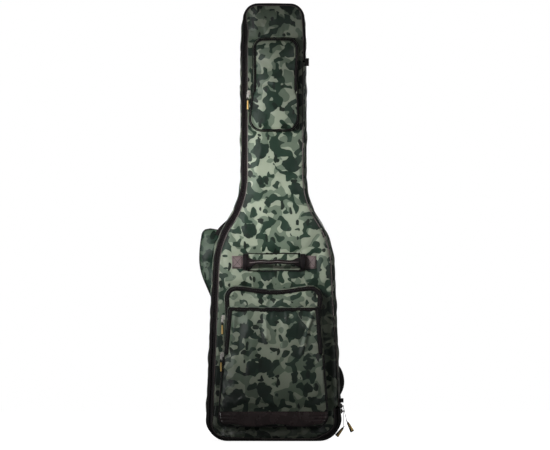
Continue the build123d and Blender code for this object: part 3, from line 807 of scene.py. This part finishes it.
def pocket(name, corners, radii, base, depth, band, fold, zip_low, face_shape, swell, held, drop,
           offset, seam):
    """Gusset, zip band, coil, seam cord and padded face of one pocket."""
    front = base - depth
    full = rounded_path(corners, radii, 0.0, 0.005)
    normals = outward_normals(full)

    def path(inset):
        return full - normals * inset

    side = [(mm(-2.5), base - mm(0.2)), (mm(-0.6), base - mm(2.5)), (mm(-1.6), base - depth * 0.5),
            (mm(-0.8), front + mm(3.5)), (mm(0.6), front + mm(0.8)), (mm(2.2), front + mm(1.6)),
            (mm(3.2), front + mm(5)), (mm(3.2), base - mm(0.3))]
    gusset = swept_band(name + "_gusset_cloth", [path(d) for d, y in side], [y for d, y in side], [camo],
                        loop=True, offset=offset)
    settle(gusset, drop)
    fit(gusset, "lid", "camo_nylon", name + "_gusset", fill=0.3)

    above = full[:, 1] > zip_low
    run = run_of(above)[1:-1]
    tape = [(mm(0.2), front + mm(2.2)), (mm(0.1), front + mm(0.2)), (band * 0.45, front - mm(0.9)),
            (band + mm(0.6), front - mm(0.3)), (band + mm(0.6), front + mm(1.2)),
            (band * 0.5, front + mm(1.8))]
    zip_band = swept_band(name + "_zip_band", [path(d)[run] for d, y in tape], [y for d, y in tape],
                          [zip_cloth], closed=False, loop=True)
    settle(zip_band, drop)
    fit(zip_band, "lid", "black_nylon", name + "_zip_tape")
    coil_points = at_depth(path(band * 0.45)[run], front - mm(1.1))
    coil_points[:, 2] -= [drop(x, z) for x, y, z in coil_points]
    coil = path_tree_piece(name + "_zip_coil", beads, [coil_points], False,
                           {"Spacing": mm(2.6), "Bead size": mm(2.8, 1.2, 1.7), "Material": coil_nylon})
    fit(coil, "lid", "black_nylon")

    below = run_of(~above)[1:-1] if (~above).any() else []
    if len(below):
        piping_run(name + "_seam_piping", at_depth(path(mm(0.2))[below], front - mm(0.2)), "lid",
                   black_binding, "piping", mm(1.5))
    base_points = at_depth(path(mm(-3.2)), base - mm(2.6))
    if seam:
        piping_run(name + "_base_piping", base_points, "lid", black_binding, "piping", mm(1.1), closed=True)

    narrow, wide = path(band), path(mm(1.0))
    low, high = wide[:, 1].min() + mm(0.3), narrow[:, 1].max() - mm(0.2)
    heights = np.linspace(low, high, int((high - low) / mm(4.4)))
    lefts, rights = [], []
    for z in heights:
        share = smooth_step(z, zip_low - mm(10), zip_low + mm(4))
        left, right = row_bounds(wide, z)
        inner_left, inner_right = row_bounds(narrow, min(max(z, narrow[:, 1].min() + mm(0.2)), high))
        lefts.append(left * (1 - share) + inner_left * share)
        rights.append(right * (1 - share) + inner_right * share)
    columns = int((max(rights) - min(lefts)) / mm(4.4))

    def face_depth(x, z, d):
        puff = swell * (1 - np.exp(-d / mm(14)))
        return front + mm(0.3) - (puff + face_shape(x, z) * np.minimum(1, d / mm(8))) * held(z)

    face, free = padded_slab(name + "_face_cloth", lefts, rights, heights, columns, face_depth,
                             front + mm(3.2), [camo, plush], offset)
    heights_now = np.array([vertex.co.z for vertex in face.data.vertices])
    free &= np.broadcast_to(held(heights_now) > 0.5, free.shape)
    billow(face, free, 2.2, 0.015, mm(5))
    settle(face, drop)
    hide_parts(name + "_front", name + "_flap")
    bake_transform(face)


def neck_pocket_folds(x, z):
    """Full pocket with a few soft cross folds in its upper half."""
    return wrinkle(x, z, mm(50), 21.0, (0.6, 1.0)) * mm(4.2) + wrinkle(x, z, mm(24), 25.0) * mm(1.2)


def large_pocket_folds(x, z):
    """Slack cloth above the front pocket: rolls that run down and outwards from its top corners."""
    return wrinkle(x, z, mm(44), 31.0, (1.0, 0.6)) * mm(5.0) + wrinkle(x, z, mm(20), 35.0) * mm(1.2)


def front_pocket_swell(z):
    """No swelling behind the trim band, which holds the foot of the face flat."""
    return smooth_step(z, mm(86), mm(112))


def full_swell(z):
    """Swelling that is even from top to bottom."""
    return 1.0


def front_pocket_folds(x, z):
    """Folds that hang from the zip: upright ones at both sides and a slanting one on the right."""
    upright = wrinkle(x, z, mm(42), 41.0, (1.0, 0.22)) * mm(5.5) * smooth_step(z, mm(90), mm(300))
    slant = x - mm(92) - (z - mm(300)) * 0.28
    roll = mm(6.5) * np.exp(-(slant / mm(6)) ** 2) * smooth_step(z, mm(225), mm(270))
    hanging = mm(4.5) * np.exp(-((x + mm(112)) / mm(6)) ** 2) * smooth_step(z, mm(180), mm(320))
    return upright + roll + hanging + wrinkle(x, z, mm(22), 45.0) * mm(0.8)


def large_pocket_drop(x, z):
    """The large pocket's mouth hangs 14 mm lower in the middle."""
    rise = min(max((z - mm(372)) / mm(60), 0), 1)
    return mm(14) * rise * math.exp(-(x / mm(78)) ** 2)


def front_pocket_drop(x, z):
    """The front pocket's straight zip dips a little."""
    rise = min(max((z - mm(300)) / mm(80), 0), 1)
    return mm(2.5) * rise * math.exp(-(x / mm(90)) ** 2)


neck_pocket_box = (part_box("neck_pocket_gusset"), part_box("neck_pocket_flap"))
large_pocket_box = (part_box("large_pocket_gusset"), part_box("large_pocket_flap"))
front_pocket_box = (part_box("front_pocket_gusset"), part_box("front_pocket_flap"))


def pocket_depth(boxes):
    """Where a pocket starts and how far it stands out, from its gusset and its flap."""
    return boxes[0][1].y, boxes[0][1].y - boxes[1][0].y


pocket("neck_pocket", [mm(-57, 1138), mm(70, 1138), mm(66, 1010), mm(70, 880), mm(-69, 880), mm(-55, 1010)],
       mm(28, 28, 150, 32, 32, 150), *pocket_depth(neck_pocket_box), mm(6), neck_pocket_box[1][0].z,
       mm(985), neck_pocket_folds, mm(5.0), full_swell, no_drop, (0.11, 0.0, 0.37), True)
pocket("large_pocket", [mm(-140, 442), mm(140, 442), mm(134, 350), mm(156, 44), mm(-158, 44), mm(-134, 350)],
       mm(36, 36, 300, 30, 30, 300), *pocket_depth(large_pocket_box), mm(12), large_pocket_box[1][0].z,
       mm(248), large_pocket_folds, mm(3.5), full_swell, large_pocket_drop, (0.53, 0.0, 0.19), False)
front_corners = [mm(-127, 381), mm(129, 381), mm(154, 46), mm(-157, 46)]
front_radii = mm(6, 6, 28, 28)
pocket("front_pocket", front_corners, front_radii, *pocket_depth(front_pocket_box), mm(11),
       front_pocket_box[1][0].z, mm(248), front_pocket_folds, mm(3.0), front_pocket_swell,
       front_pocket_drop, (0.83, 0.0, 0.71), False)

# ---- Trim band along the foot of the front pocket -----------------------------------------
# Strip of dark brown leatherette, gathered at both ends so that short pleats run in from them, and
# sewn on with a row of stitches along its top.


def leatherette(name, colour, highlight, grain, gloss):
    """Polyurethane-coated cloth: fine pebbled grain pressed into a soft gloss skin."""
    material, tree = bare_material(name)
    place = add_node(tree, "ShaderNodeAttribute", {"attribute_name": "cloth_place"}).outputs["Vector"]
    # Real grain is under half as wide; it is drawn this coarse so that it shows.
    pebbles = add_node(tree, "ShaderNodeTexVoronoi", {"feature": "F1"},
                       {"Vector": place, "Scale": 1 / grain})
    # Clouds of the paler highlight colour are painted highlight; the same clouds vary the gloss.
    highlight_cloud = add_node(tree, "ShaderNodeTexNoise", None, {"Vector": place, "Scale": 1 / mm(28), "Detail": 5.0})
    mix = add_node(tree, "ShaderNodeMix", {"data_type": "RGBA"},
                   {0: highlight_cloud.outputs["Fac"], 6: linear(colour), 7: linear(highlight)})
    bump = add_node(tree, "ShaderNodeBump", {"invert": True},
                    {"Height": pebbles.outputs["Distance"], "Strength": 0.4, "Distance": mm(0.25)})
    shine = add_node(tree, "ShaderNodeMapRange", None,
                     {"Value": highlight_cloud.outputs["Fac"], "To Min": gloss - 0.08, "To Max": gloss + 0.12})
    shader = add_node(tree, "ShaderNodeBsdfPrincipled", None,
                      {"Base Color": mix.outputs[2], "Roughness": shine.outputs[0], "Normal": bump.outputs[0],
                       "Specular IOR Level": 0.5, "Coat Weight": 0.12, "Coat Roughness": 0.3})
    add_node(tree, "ShaderNodeOutputMaterial", None, {"Surface": shader.outputs[0]})
    return material


# Dark brown coated cloth has a soft gloss that runs along the crests of its pleats, and paler clouds of
# painted highlight. The thread's stitches stand up as small dull beads.
brown_leatherette = leatherette("dark brown leatherette", "#231a1b", "#4b3b3b", mm(1.3), 0.25)
black_thread = woven_tape("black bonded thread", "#0d0b0c", "#232021", mm(0.8), 0.45)
brown_thread = woven_tape("brown bonded thread", "#4a3c3a", "#6b5a56", mm(0.8), 0.45)

front_low, front_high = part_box("trim_band")
trim_path = rounded_path(front_corners, front_radii, mm(-0.8), 0.005)


def trim_face(x, z, d):
    """Pleats that run in from each end, and a slack wave in between."""
    ends = smooth_step(np.abs(x), mm(88), mm(128))
    pleats = np.abs(np.sin((z - front_low.z) * math.pi / mm(10.5) + x * 9)) * mm(4.6) * ends
    wave = wrinkle(x, z, mm(40), 51.0, (1.0, 0.6)) * mm(1.0)
    crown = mm(1.8) * (1 - np.exp(-d / mm(4)))
    return front_low.y - mm(0.6) - crown - (pleats + wave) * np.minimum(1, d / mm(5))


trim_heights = np.linspace(front_low.z + mm(0.4), front_high.z, 14)
trim_bounds = [row_bounds(trim_path, z) for z in trim_heights]
trim = padded_slab("trim_band_strip", [b[0] for b in trim_bounds], [b[1] for b in trim_bounds], trim_heights,
                   150, trim_face, front_high.y - mm(1.2), [brown_leatherette, plush], (0, 0, 0))[0]
for vertex in trim.data.vertices:
    foot = 1 - (vertex.co.z - front_low.z) / (front_high.z - front_low.z)
    vertex.co.z += mm(3.2) * foot * math.sin(vertex.co.x * 48 + 1.2) + mm(2.5) * foot
fit(trim, "lid", "trim_leatherette", "trim_band", fill=0.2)
trim_top = [(x, front_low.y - mm(2.6), front_high.z - mm(3.2)) for x in np.linspace(mm(-148), mm(146), 60)]
stitch_line("trim_band_stitches", [trim_top], "lid", brown_thread)

# ---- Carry handle -------------------------------------------------------------------------
# Two leatherette patches sewn down with a box and a cross hold the webbing. Collars of folded
# webbing carry the padded grip, and a bound pad of the same cloth lies behind it.


def two_boxes(node):
    """The boxes of a node's two solids, which lie side by side."""
    low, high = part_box(node)
    spots = np.array([vertex.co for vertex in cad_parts[node].data.vertices])
    middle = (low.x + high.x) / 2
    pair = [spots[spots[:, 0] < middle], spots[spots[:, 0] >= middle]]
    return [(Vector(half.min(0)), Vector(half.max(0))) for half in pair]


def small_slab(name, box, front, back, cloths, offset=(0, 0, 0), step=mm(2.0)):
    """Padded panel that fills a box seen from the front."""
    low, high = box
    heights = np.linspace(low.z, high.z, max(4, int((high.z - low.z) / step)))
    columns = max(4, int((high.x - low.x) / step))
    return padded_slab(name, [low.x] * len(heights), [high.x] * len(heights), heights, columns, front, back,
                       cloths, offset, mm(0.3))[0]


def box_and_cross(low, high, depth, margin):
    """Paths of a box stitch with a cross in it."""
    left, right, foot, top = low.x + margin, high.x - margin, low.z + margin, high.z - margin
    around = ((left, foot), (right, foot), (right, top), (left, top), (left, foot))
    corners = [(x, depth, z) for x, z in around]
    return [corners, [corners[0], corners[2]], [corners[1], corners[3]]]


# The patches are a dusty grey-pink with paler cloudy places of painted highlight; webbing shows a coarse rib
# and a low shine.
pale_leatherette = leatherette("grey-pink leatherette", "#574a4a", "#827473", mm(1.2), 0.45)
webbing = woven_tape("black polypropylene webbing", "#0b090a", "#1d1819", mm(2.4), 0.42)
for number, (low, high) in enumerate(two_boxes("handle_patches")):
    def patch_face(x, z, d):
        return low.y - mm(0.9) * (1 - np.exp(-d / mm(1.5))) + mm(0.4) * np.exp(-((d - mm(3)) / mm(0.8)) ** 2)

    patch = small_slab(f"handle_patch_{number}", (low, high), patch_face, high.y + mm(0.5),
                       [pale_leatherette], step=mm(1.5))
    fit(patch, "lid", "patch_leatherette", fill=0.1)
    sewing = stitch_line(f"handle_patch_stitches_{number}", box_and_cross(low, high, low.y - mm(1.1), mm(3)),
                         "lid", black_thread, stitch=mm(2.8), gap=mm(0.5), width=mm(1.5))
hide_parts("handle_patches")

for number, (low, high) in enumerate(two_boxes("handle_collars")):
    middle_z, half_z, reach = (low.z + high.z) / 2, (high.z - low.z) / 2, high.y - low.y

    def collar_face(x, z, d):
        arch = np.sqrt(np.clip(1 - ((z - middle_z) / half_z) ** 2, 0, 1))
        return high.y - mm(3) - (reach - mm(3.5)) * arch - mm(1.2) * (1 - np.exp(-d / mm(2)))

    collar = small_slab(f"handle_collar_{number}", (low, high), collar_face, high.y + mm(0.5), [webbing],
                        step=mm(1.3))
    fit(collar, "lid", "black_nylon", fill=0.4)
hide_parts("handle_collars")

back_low, back_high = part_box("handle_backing")


def backing_face(x, z, d):
    """A soft pad with the hollow that the hand has pressed into it."""
    return back_low.y - mm(1.6) * (1 - np.exp(-d / mm(5))) + wrinkle(x, z, mm(26), 61.0) * mm(0.6)


backing = small_slab("handle_backing_pad", (back_low, back_high), backing_face, back_high.y + mm(0.5), [camo],
                     (0.4, 0.0, 0.9), mm(2.5))
fit(backing, "lid", "camo_nylon", "handle_backing", fill=0.4)
for edge_name, edge_z in (("top", back_high.z), ("foot", back_low.z)):
    bound = [(x, back_low.y - mm(0.3), edge_z + mm(0.8) * math.sin(x * 55))
             for x in np.linspace(back_low.x, back_high.x, 40)]
    piping_run(f"handle_backing_{edge_name}_binding", bound, "lid", black_binding, "piping", mm(1.7))


def loft(name, centres, across, outward, widths, depths, material, power=3.0, count=22, offset=(0, 0, 0)):
    """Closed long form with a rounded oblong section at each station along its centre line."""
    angles = np.linspace(0, 2 * math.pi, count, endpoint=False)
    a = np.sign(np.cos(angles)) * np.abs(np.cos(angles)) ** (2 / power) / 2
    b = np.sign(np.sin(angles)) * np.abs(np.sin(angles)) ** (2 / power) / 2
    points = []
    for centre, side, out, width, depth in zip(centres, across, outward, widths, depths):
        points += [centre + side * width * p + out * depth * q for p, q in zip(a, b)]
    stations = len(centres)
    ring = [(i, (i + 1) % count, count + (i + 1) % count, count + i) for i in range(count)]
    faces = [tuple(s * count + corner for corner in quad) for s in range(stations - 1) for quad in ring]
    ends = [np.asarray(centres[0]), np.asarray(centres[-1])]
    last = (stations - 1) * count
    for i in range(count):
        j = (i + 1) % count
        faces += [(stations * count, j, i), (stations * count + 1, last + i, last + j)]
    return finish_mesh(name, points + ends, faces, [material], offset=offset)


grip_low, grip_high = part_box("handle_grip")
grip_share = np.linspace(-1, 1, 61)
grip_middle, grip_half = (grip_low.x + grip_high.x) / 2, (grip_high.x - grip_low.x) / 2
grip_bow = mm(26)
grip_end_y = grip_high.y - mm(4.5)
bulge = 1 - grip_share ** 2
grip_rise = mm(2.5) * bulge + mm(0.7) * np.sin(grip_share * 9)
grip_centres = np.stack([grip_middle + grip_half * grip_share, grip_end_y - grip_bow * bulge,
                         (grip_low.z + grip_high.z) / 2 + grip_rise - mm(1)], 1)
grip_along = np.gradient(grip_centres, axis=0)
grip_along /= np.linalg.norm(grip_along, axis=1)[:, None]
grip_up = np.tile([0.0, 0.0, 1.0], (len(grip_share), 1))
grip_out = np.cross(grip_up, grip_along)
folded = smooth_step(1 - np.abs(grip_share), 0.05, 0.35)
grip_width = mm(26) - mm(14) * folded + mm(0.5) * np.sin(grip_share * 40)
grip_thick = mm(7) + mm(2) * folded
# The grip's sleeve is smooth and rubbed, so it shines more than the webbing beside it.
sleeve = woven_tape("black padded grip cloth", "#0d0a0b", "#201a1b", mm(1.4), 0.36)
grip = loft("handle_grip_sleeve", grip_centres, grip_up, grip_out, grip_width, grip_thick, sleeve, 2.6)
fit(grip, "handle_grip", "black_nylon", "handle_grip", fill=0.7)
front_side = -np.sign(grip_out[:, 1:2]) * grip_out
seam_points = grip_centres + front_side * (grip_thick[:, None] / 2 + mm(0.1))
piping_run("handle_grip_seam", seam_points[3:-3], "handle_grip", highlight_grey_binding, "piping", mm(1.0))

# ---- Back panel ---------------------------------------------------------------------------
# Foam between the printed cloth outside and the brushed lining inside, sewn all round to the
# sides with a black piping in the seam.

back_face_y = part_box("back_panel")[1].y
back_lining_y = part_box("back_lining")[0].y
back_path = bag_path(mm(3.4))
back_heights = np.linspace(back_path[:, 1].min() + mm(0.3), back_path[:, 1].max() - mm(0.3), 200)
back_bounds = [row_bounds(back_path, z) for z in back_heights]


def back_depth(x, z, d):
    """Back cloth, padded out a little between its seam and the straps that lie on it."""
    folds = wrinkle(x, z, mm(80), 71.0, (1.0, 0.5)) * mm(0.8)
    folds += np.sin(z * 380) * mm(0.4) * np.exp(-d / mm(8))
    return back_face_y - mm(2.4) + (mm(2.6) * (1 - np.exp(-d / mm(12))) + folds * np.minimum(1, d / mm(8)))


back = padded_slab("back_panel_cloth", [b[0] for b in back_bounds], [b[1] for b in back_bounds], back_heights,
                   60, lambda x, z, d: np.full_like(x, back_lining_y), back_depth, [plush, camo],
                   (0.9, 0.5, 0.2), 0.0)[0]
fit(back, "shell", "camo_nylon", "back_panel", "back_lining", fill=0.5)

# ---- Shoulder straps ----------------------------------------------------------------------
# Curved foam pads covered in the printed cloth and bound in black, hung from D-rings at the neck
# by webbing. Their lower webbing runs through ladder locks to patches near the foot.

strap_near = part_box("strap_pad_left")[0].y
strap_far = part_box("strap_pad_left")[1].y


def smooth_route(points, rounds=4):
    """Cuts the corners of a route until it is a smooth curve."""
    route = np.array([mm(*p) for p in points])
    for _ in range(rounds):
        near = route[:-1] * 0.75 + route[1:] * 0.25
        far = route[:-1] * 0.25 + route[1:] * 0.75
        inner = np.empty((2 * len(near), 2))
        inner[0::2], inner[1::2] = near, far
        route = np.concatenate([route[:1], inner, route[-1:]])
    return route


def evenly(route, step):
    """Points at an even spacing along a route."""
    length = np.concatenate([[0], np.cumsum(np.linalg.norm(np.diff(route, axis=0), axis=1))])
    places = np.linspace(0, length[-1], max(3, int(length[-1] / step)))
    return np.stack([np.interp(places, length, route[:, k]) for k in (0, 1)], 1), places, length[-1]


def strap_frame(route, depth):
    """Centre points, and directions across and outward, of a strap lying behind the back."""
    centres = np.stack([route[:, 0], np.broadcast_to(depth, len(route)), route[:, 1]], 1)
    along = np.gradient(centres, axis=0)
    along /= np.linalg.norm(along, axis=1)[:, None]
    outward = np.tile([0.0, 1.0, 0.0], (len(route), 1))
    return centres, np.cross(along, outward), outward


def shoulder_pad(side, points):
    """Padded shoulder strap with its binding."""
    route, places, length = evenly(smooth_route(points), mm(5))
    centres, across, outward = strap_frame(route, (strap_near + strap_far) / 2)
    from_end = np.minimum(places, length - places)
    corner = mm(20)
    widths = 2 * (mm(34) - corner + np.sqrt(corner ** 2 - np.clip(corner - from_end, 0, corner) ** 2))
    depths = mm(7) + mm(11) * smooth_step(from_end, 0, mm(22)) + mm(0.5) * np.sin(places * 120)
    # The pad's cover is the darker copy of the print: painted shade.
    pad = loft(f"strap_pad_{side}_cover", centres, across, outward, widths, depths, painted_shade_camo, 2.5, 28,
               (0.47, 0.6, 1.31))
    spots = np.array([vertex.co for vertex in pad.data.vertices])
    free = np.abs(spots[:, 1] - (strap_near + strap_far) / 2) > mm(2.5)
    billow(pad, free, 3.0, 0.01, mm(4))
    rounding = pad.modifiers.new("smooth", "SUBSURF")
    rounding.levels = rounding.render_levels = 1
    fit(pad, "shell", "camo_nylon", f"strap_pad_{side}", fill=0.8)
    edge = widths[:, None] / 2 + mm(0.2)
    rim = np.concatenate([centres + across * edge, (centres - across * edge)[::-1]])
    piping_run(f"strap_pad_{side}_binding", rim, "shell", black_binding, "piping", mm(2.4), closed=True)


def strap_webbing(node, points, depth):
    """Flat woven webbing along a route."""
    route = evenly(smooth_route(points), mm(4))[0]
    centres, across, outward = strap_frame(route, depth)
    count = len(route)
    band = loft(node + "_band", centres, across, outward, np.full(count, mm(25)), np.full(count, mm(2.4)),
                webbing, 7.0, 16)
    fit(band, "shell", "black_nylon", node)


shoulder_pad("left", [(-167, 598), (-176, 545), (-177, 492), (-150, 430), (-122, 362), (-110, 280)])
shoulder_pad("right", [(92, 590), (112, 520), (118, 440), (104, 350), (96, 280)])
web_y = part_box("strap_web_upper_left")[0].y + mm(1.3)
strap_webbing("strap_web_upper_left", [(-80, 994), (-66, 760), (-80, 650), (-140, 606), (-158, 580)], web_y)
strap_webbing("strap_web_upper_right", [(78, 994), (70, 800), (84, 640), (96, 575)], web_y)
strap_webbing("strap_web_lower_left", [(-110, 292), (-114, 240), (-118, 200), (-150, 110)], web_y)
strap_webbing("strap_web_lower_right", [(96, 292), (108, 262), (120, 240), (176, 207), (189, 182), (191, 150),
                                        (172, 118), (150, 100)], web_y)

for node, back_limit in (("ring_tabs", mm(1.6)), ("strap_anchors", mm(2.4))):
    for number, (low, high) in enumerate(two_boxes(node)):
        def tab_face(x, z, d):
            return low.y + back_limit * (1 - np.exp(-d / mm(1.2)))

        tab = small_slab(f"{node}_{number}", (low, high), lambda x, z, d: np.full_like(x, low.y - mm(0.6)),
                         tab_face, [webbing])
        fit(tab, "shell", "black_nylon", fill=0.1)
        sewn = stitch_line(f"{node}_stitches_{number}", box_and_cross(low, high, low.y + back_limit, mm(3)),
                           "shell", brown_thread, stitch=mm(2.6), gap=mm(1.2))
    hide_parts(node)

for number, (low, high) in enumerate(two_boxes("zip_end_tabs")):
    low.x -= mm(5)
    tab = small_slab(f"zip_end_tab_{number}", (low, high),
                     lambda x, z, d: low.y - mm(0.8) * (1 - np.exp(-d / mm(1.2))), high.y, [webbing],
                     step=mm(1.2))
    fit(tab, "shell", "black_nylon", fill=0.2)
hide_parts("zip_end_tabs")

# ---- Padding inside -----------------------------------------------------------------------
# Foam blocks covered in the brushed lining: a cradle for the instrument's neck with its hook-and-
# loop strap, and a bumper at the foot.


def softened(node, name, voxel, material):
    """Copy of a foam block with its edges rounded, as foam has under stretched cloth."""
    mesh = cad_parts[node].data.copy()
    mesh.materials.clear()
    piece = bpy.data.objects.new(name, mesh)
    bpy.context.scene.collection.objects.link(piece)
    remesh = piece.modifiers.new("remesh", "REMESH")
    remesh.mode = "VOXEL"
    remesh.voxel_size = voxel
    rounding = piece.modifiers.new("rounding", "SMOOTH")
    rounding.iterations = 6
    shot = piece.evaluated_get(bpy.context.evaluated_depsgraph_get())
    soft_mesh = bpy.data.meshes.new_from_object(shot)
    piece.modifiers.clear()
    piece.data = soft_mesh
    bpy.data.meshes.remove(mesh)
    store_place(soft_mesh)
    soft_mesh.materials.clear()
    soft_mesh.materials.append(material)
    soft_mesh.polygons.foreach_set("use_smooth", [True] * len(soft_mesh.polygons))
    return piece


for node in ("neck_rest_block", "end_bumper"):
    foam = softened(node, node + "_cover", mm(2.5), plush)
    fit(foam, "shell", "lining", node, fill=0.9)

strap_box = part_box("neck_strap")
hook_strap = small_slab("neck_strap_band", strap_box,
                        lambda x, z, d: strap_box[0].y + mm(0.6) * np.exp(-d / mm(1.5)),
                        strap_box[1].y, [webbing], step=mm(2.5))
fit(hook_strap, "neck_strap", "black_nylon", "neck_strap", fill=0.1)

# ---- Zip sliders, pullers, tags and strap hardware ----------------------------------------
# Die-cast zinc sliders with a worn black enamel, nickel-plated pullers and rings, moulded rubber
# tags with a plain gold stripe, and acetal ladder locks.


def hard_finish(name, colour, worn, metallic, gloss, grain, wear_level):
    """Cast or moulded part: fine grain, with its own colour rubbed through in places."""
    material, tree = bare_material(name)
    place = add_node(tree, "ShaderNodeTexCoord").outputs["Object"]
    cloud = add_node(tree, "ShaderNodeTexNoise", None, {"Vector": place, "Scale": 1 / mm(5), "Detail": 6.0})
    mask = add_node(tree, "ShaderNodeMapRange", None,
                    {"Value": cloud.outputs["Fac"], "From Min": wear_level, "From Max": wear_level + 0.15})
    mix = add_node(tree, "ShaderNodeMix", {"data_type": "RGBA"},
                   {0: mask.outputs[0], 6: linear(colour), 7: linear(worn)})
    fine = add_node(tree, "ShaderNodeTexNoise", None, {"Vector": place, "Scale": 1 / grain, "Detail": 2.0})
    bump = add_node(tree, "ShaderNodeBump", None,
                    {"Height": fine.outputs["Fac"], "Strength": 0.25, "Distance": mm(0.1)})
    shine = add_node(tree, "ShaderNodeMapRange", None,
                     {"Value": cloud.outputs["Fac"], "To Min": gloss - 0.07, "To Max": gloss + 0.12})
    shader = add_node(tree, "ShaderNodeBsdfPrincipled", None,
                      {"Base Color": mix.outputs[2], "Roughness": shine.outputs[0], "Normal": bump.outputs[0],
                       "Metallic": metallic})
    add_node(tree, "ShaderNodeOutputMaterial", None, {"Surface": shader.outputs[0]})
    return material


# Enamel is black with bright zinc where it has chipped; nickel is a soft pale silver, and the rings'
# drawn wire a greyer one. Rubber and acetal are two dull blacks. The gold print is a warm matt yellow.
enamel = hard_finish("worn black enamel on zinc", "#141214", "#c2bcbc", 0.6, 0.34, mm(0.8), 0.52)
nickel = hard_finish("satin nickel plate", "#e2dfda", "#b4b0ab", 0.6, 0.30, mm(0.9), 0.55)
steel = hard_finish("drawn steel wire, nickel plated", "#b9b7b4", "#8f8c89", 1.0, 0.30, mm(0.7), 0.55)
rubber = hard_finish("moulded black rubber", "#151211", "#262120", 0.0, 0.52, mm(0.6), 0.55)
acetal = hard_finish("moulded black acetal", "#101010", "#1d1d1e", 0.0, 0.40, mm(0.7), 0.55)
gold_foil = hard_finish("gold print on rubber", "#ecc678", "#c79c50", 0.1, 0.40, mm(0.7), 0.62)


def refinish(node, material):
    """Gives a hard part of the frame its finish."""
    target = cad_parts[node]
    if not target.material_slots:
        target.data.materials.append(material)
    for slot in target.material_slots:
        slot.material = material


def gold_stripe(node, body, share):
    """Raised gold stripe down each face of a tag, from one edge to a share past its middle."""
    spots = np.array([vertex.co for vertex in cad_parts[node].data.vertices])
    middle = spots.mean(0)
    values, axes = np.linalg.eigh(np.cov((spots - middle).T))
    thin, wide, long_way = axes[:, 0], axes[:, 1], axes[:, 2]
    if long_way[2] > 0:
        long_way = -long_way
    if thin[1] > 0:
        thin = -thin
    across = np.cross(long_way, thin)
    reach = (spots - middle) @ long_way
    breadth = (spots - middle) @ across
    lift = np.abs((spots - middle) @ thin)
    low, high = reach.min() + mm(9), reach.max() - mm(2)
    half = lift[(reach > low)].max()
    for face_side, label in ((1, "front"), (-1, "rear")):
        points, faces = [], []
        stations = 12
        for s in range(stations):
            at = low + (high - low) * s / (stations - 1)
            full = np.abs(breadth[np.abs(reach - reach.max()) < mm(4)]).max()
            edge = full * (0.66 + 0.28 * s / (stations - 1))
            for b, h in ((-edge, 0), (-edge, 1), (share * edge, 1), (share * edge, 0)):
                height = (half - mm(0.2) + mm(0.45) * h) * face_side
                points.append(middle + long_way * at + across * b + thin * height)
        for s in range(stations - 1):
            this, after = s * 4, s * 4 + 4
            faces += [(this + i, this + (i + 1) % 4, after + (i + 1) % 4, after + i) for i in range(4)]
        faces += [(0, 1, 2, 3), tuple(stations * 4 - 4 + i for i in (3, 2, 1, 0))]
        stripe = finish_mesh(f"{body}_{label}_stripe", points, faces, [gold_foil], smooth=False)
        fit(stripe, body, "tag_rubber")


for pull in ("neck_pocket", "large_pocket", "front_pocket", "main_upper", "main_lower"):
    refinish(pull + "_slider", enamel if pull.startswith("main") else nickel)
    refinish(pull + "_puller", enamel if pull.startswith("main") else nickel)
    refinish(pull + "_tag", rubber)
    gold_stripe(pull + "_tag", pull + "_tag", 0.1 if pull.startswith("main") else 0.7)
refinish("strap_rings", steel)
refinish("strap_buckles", acetal)
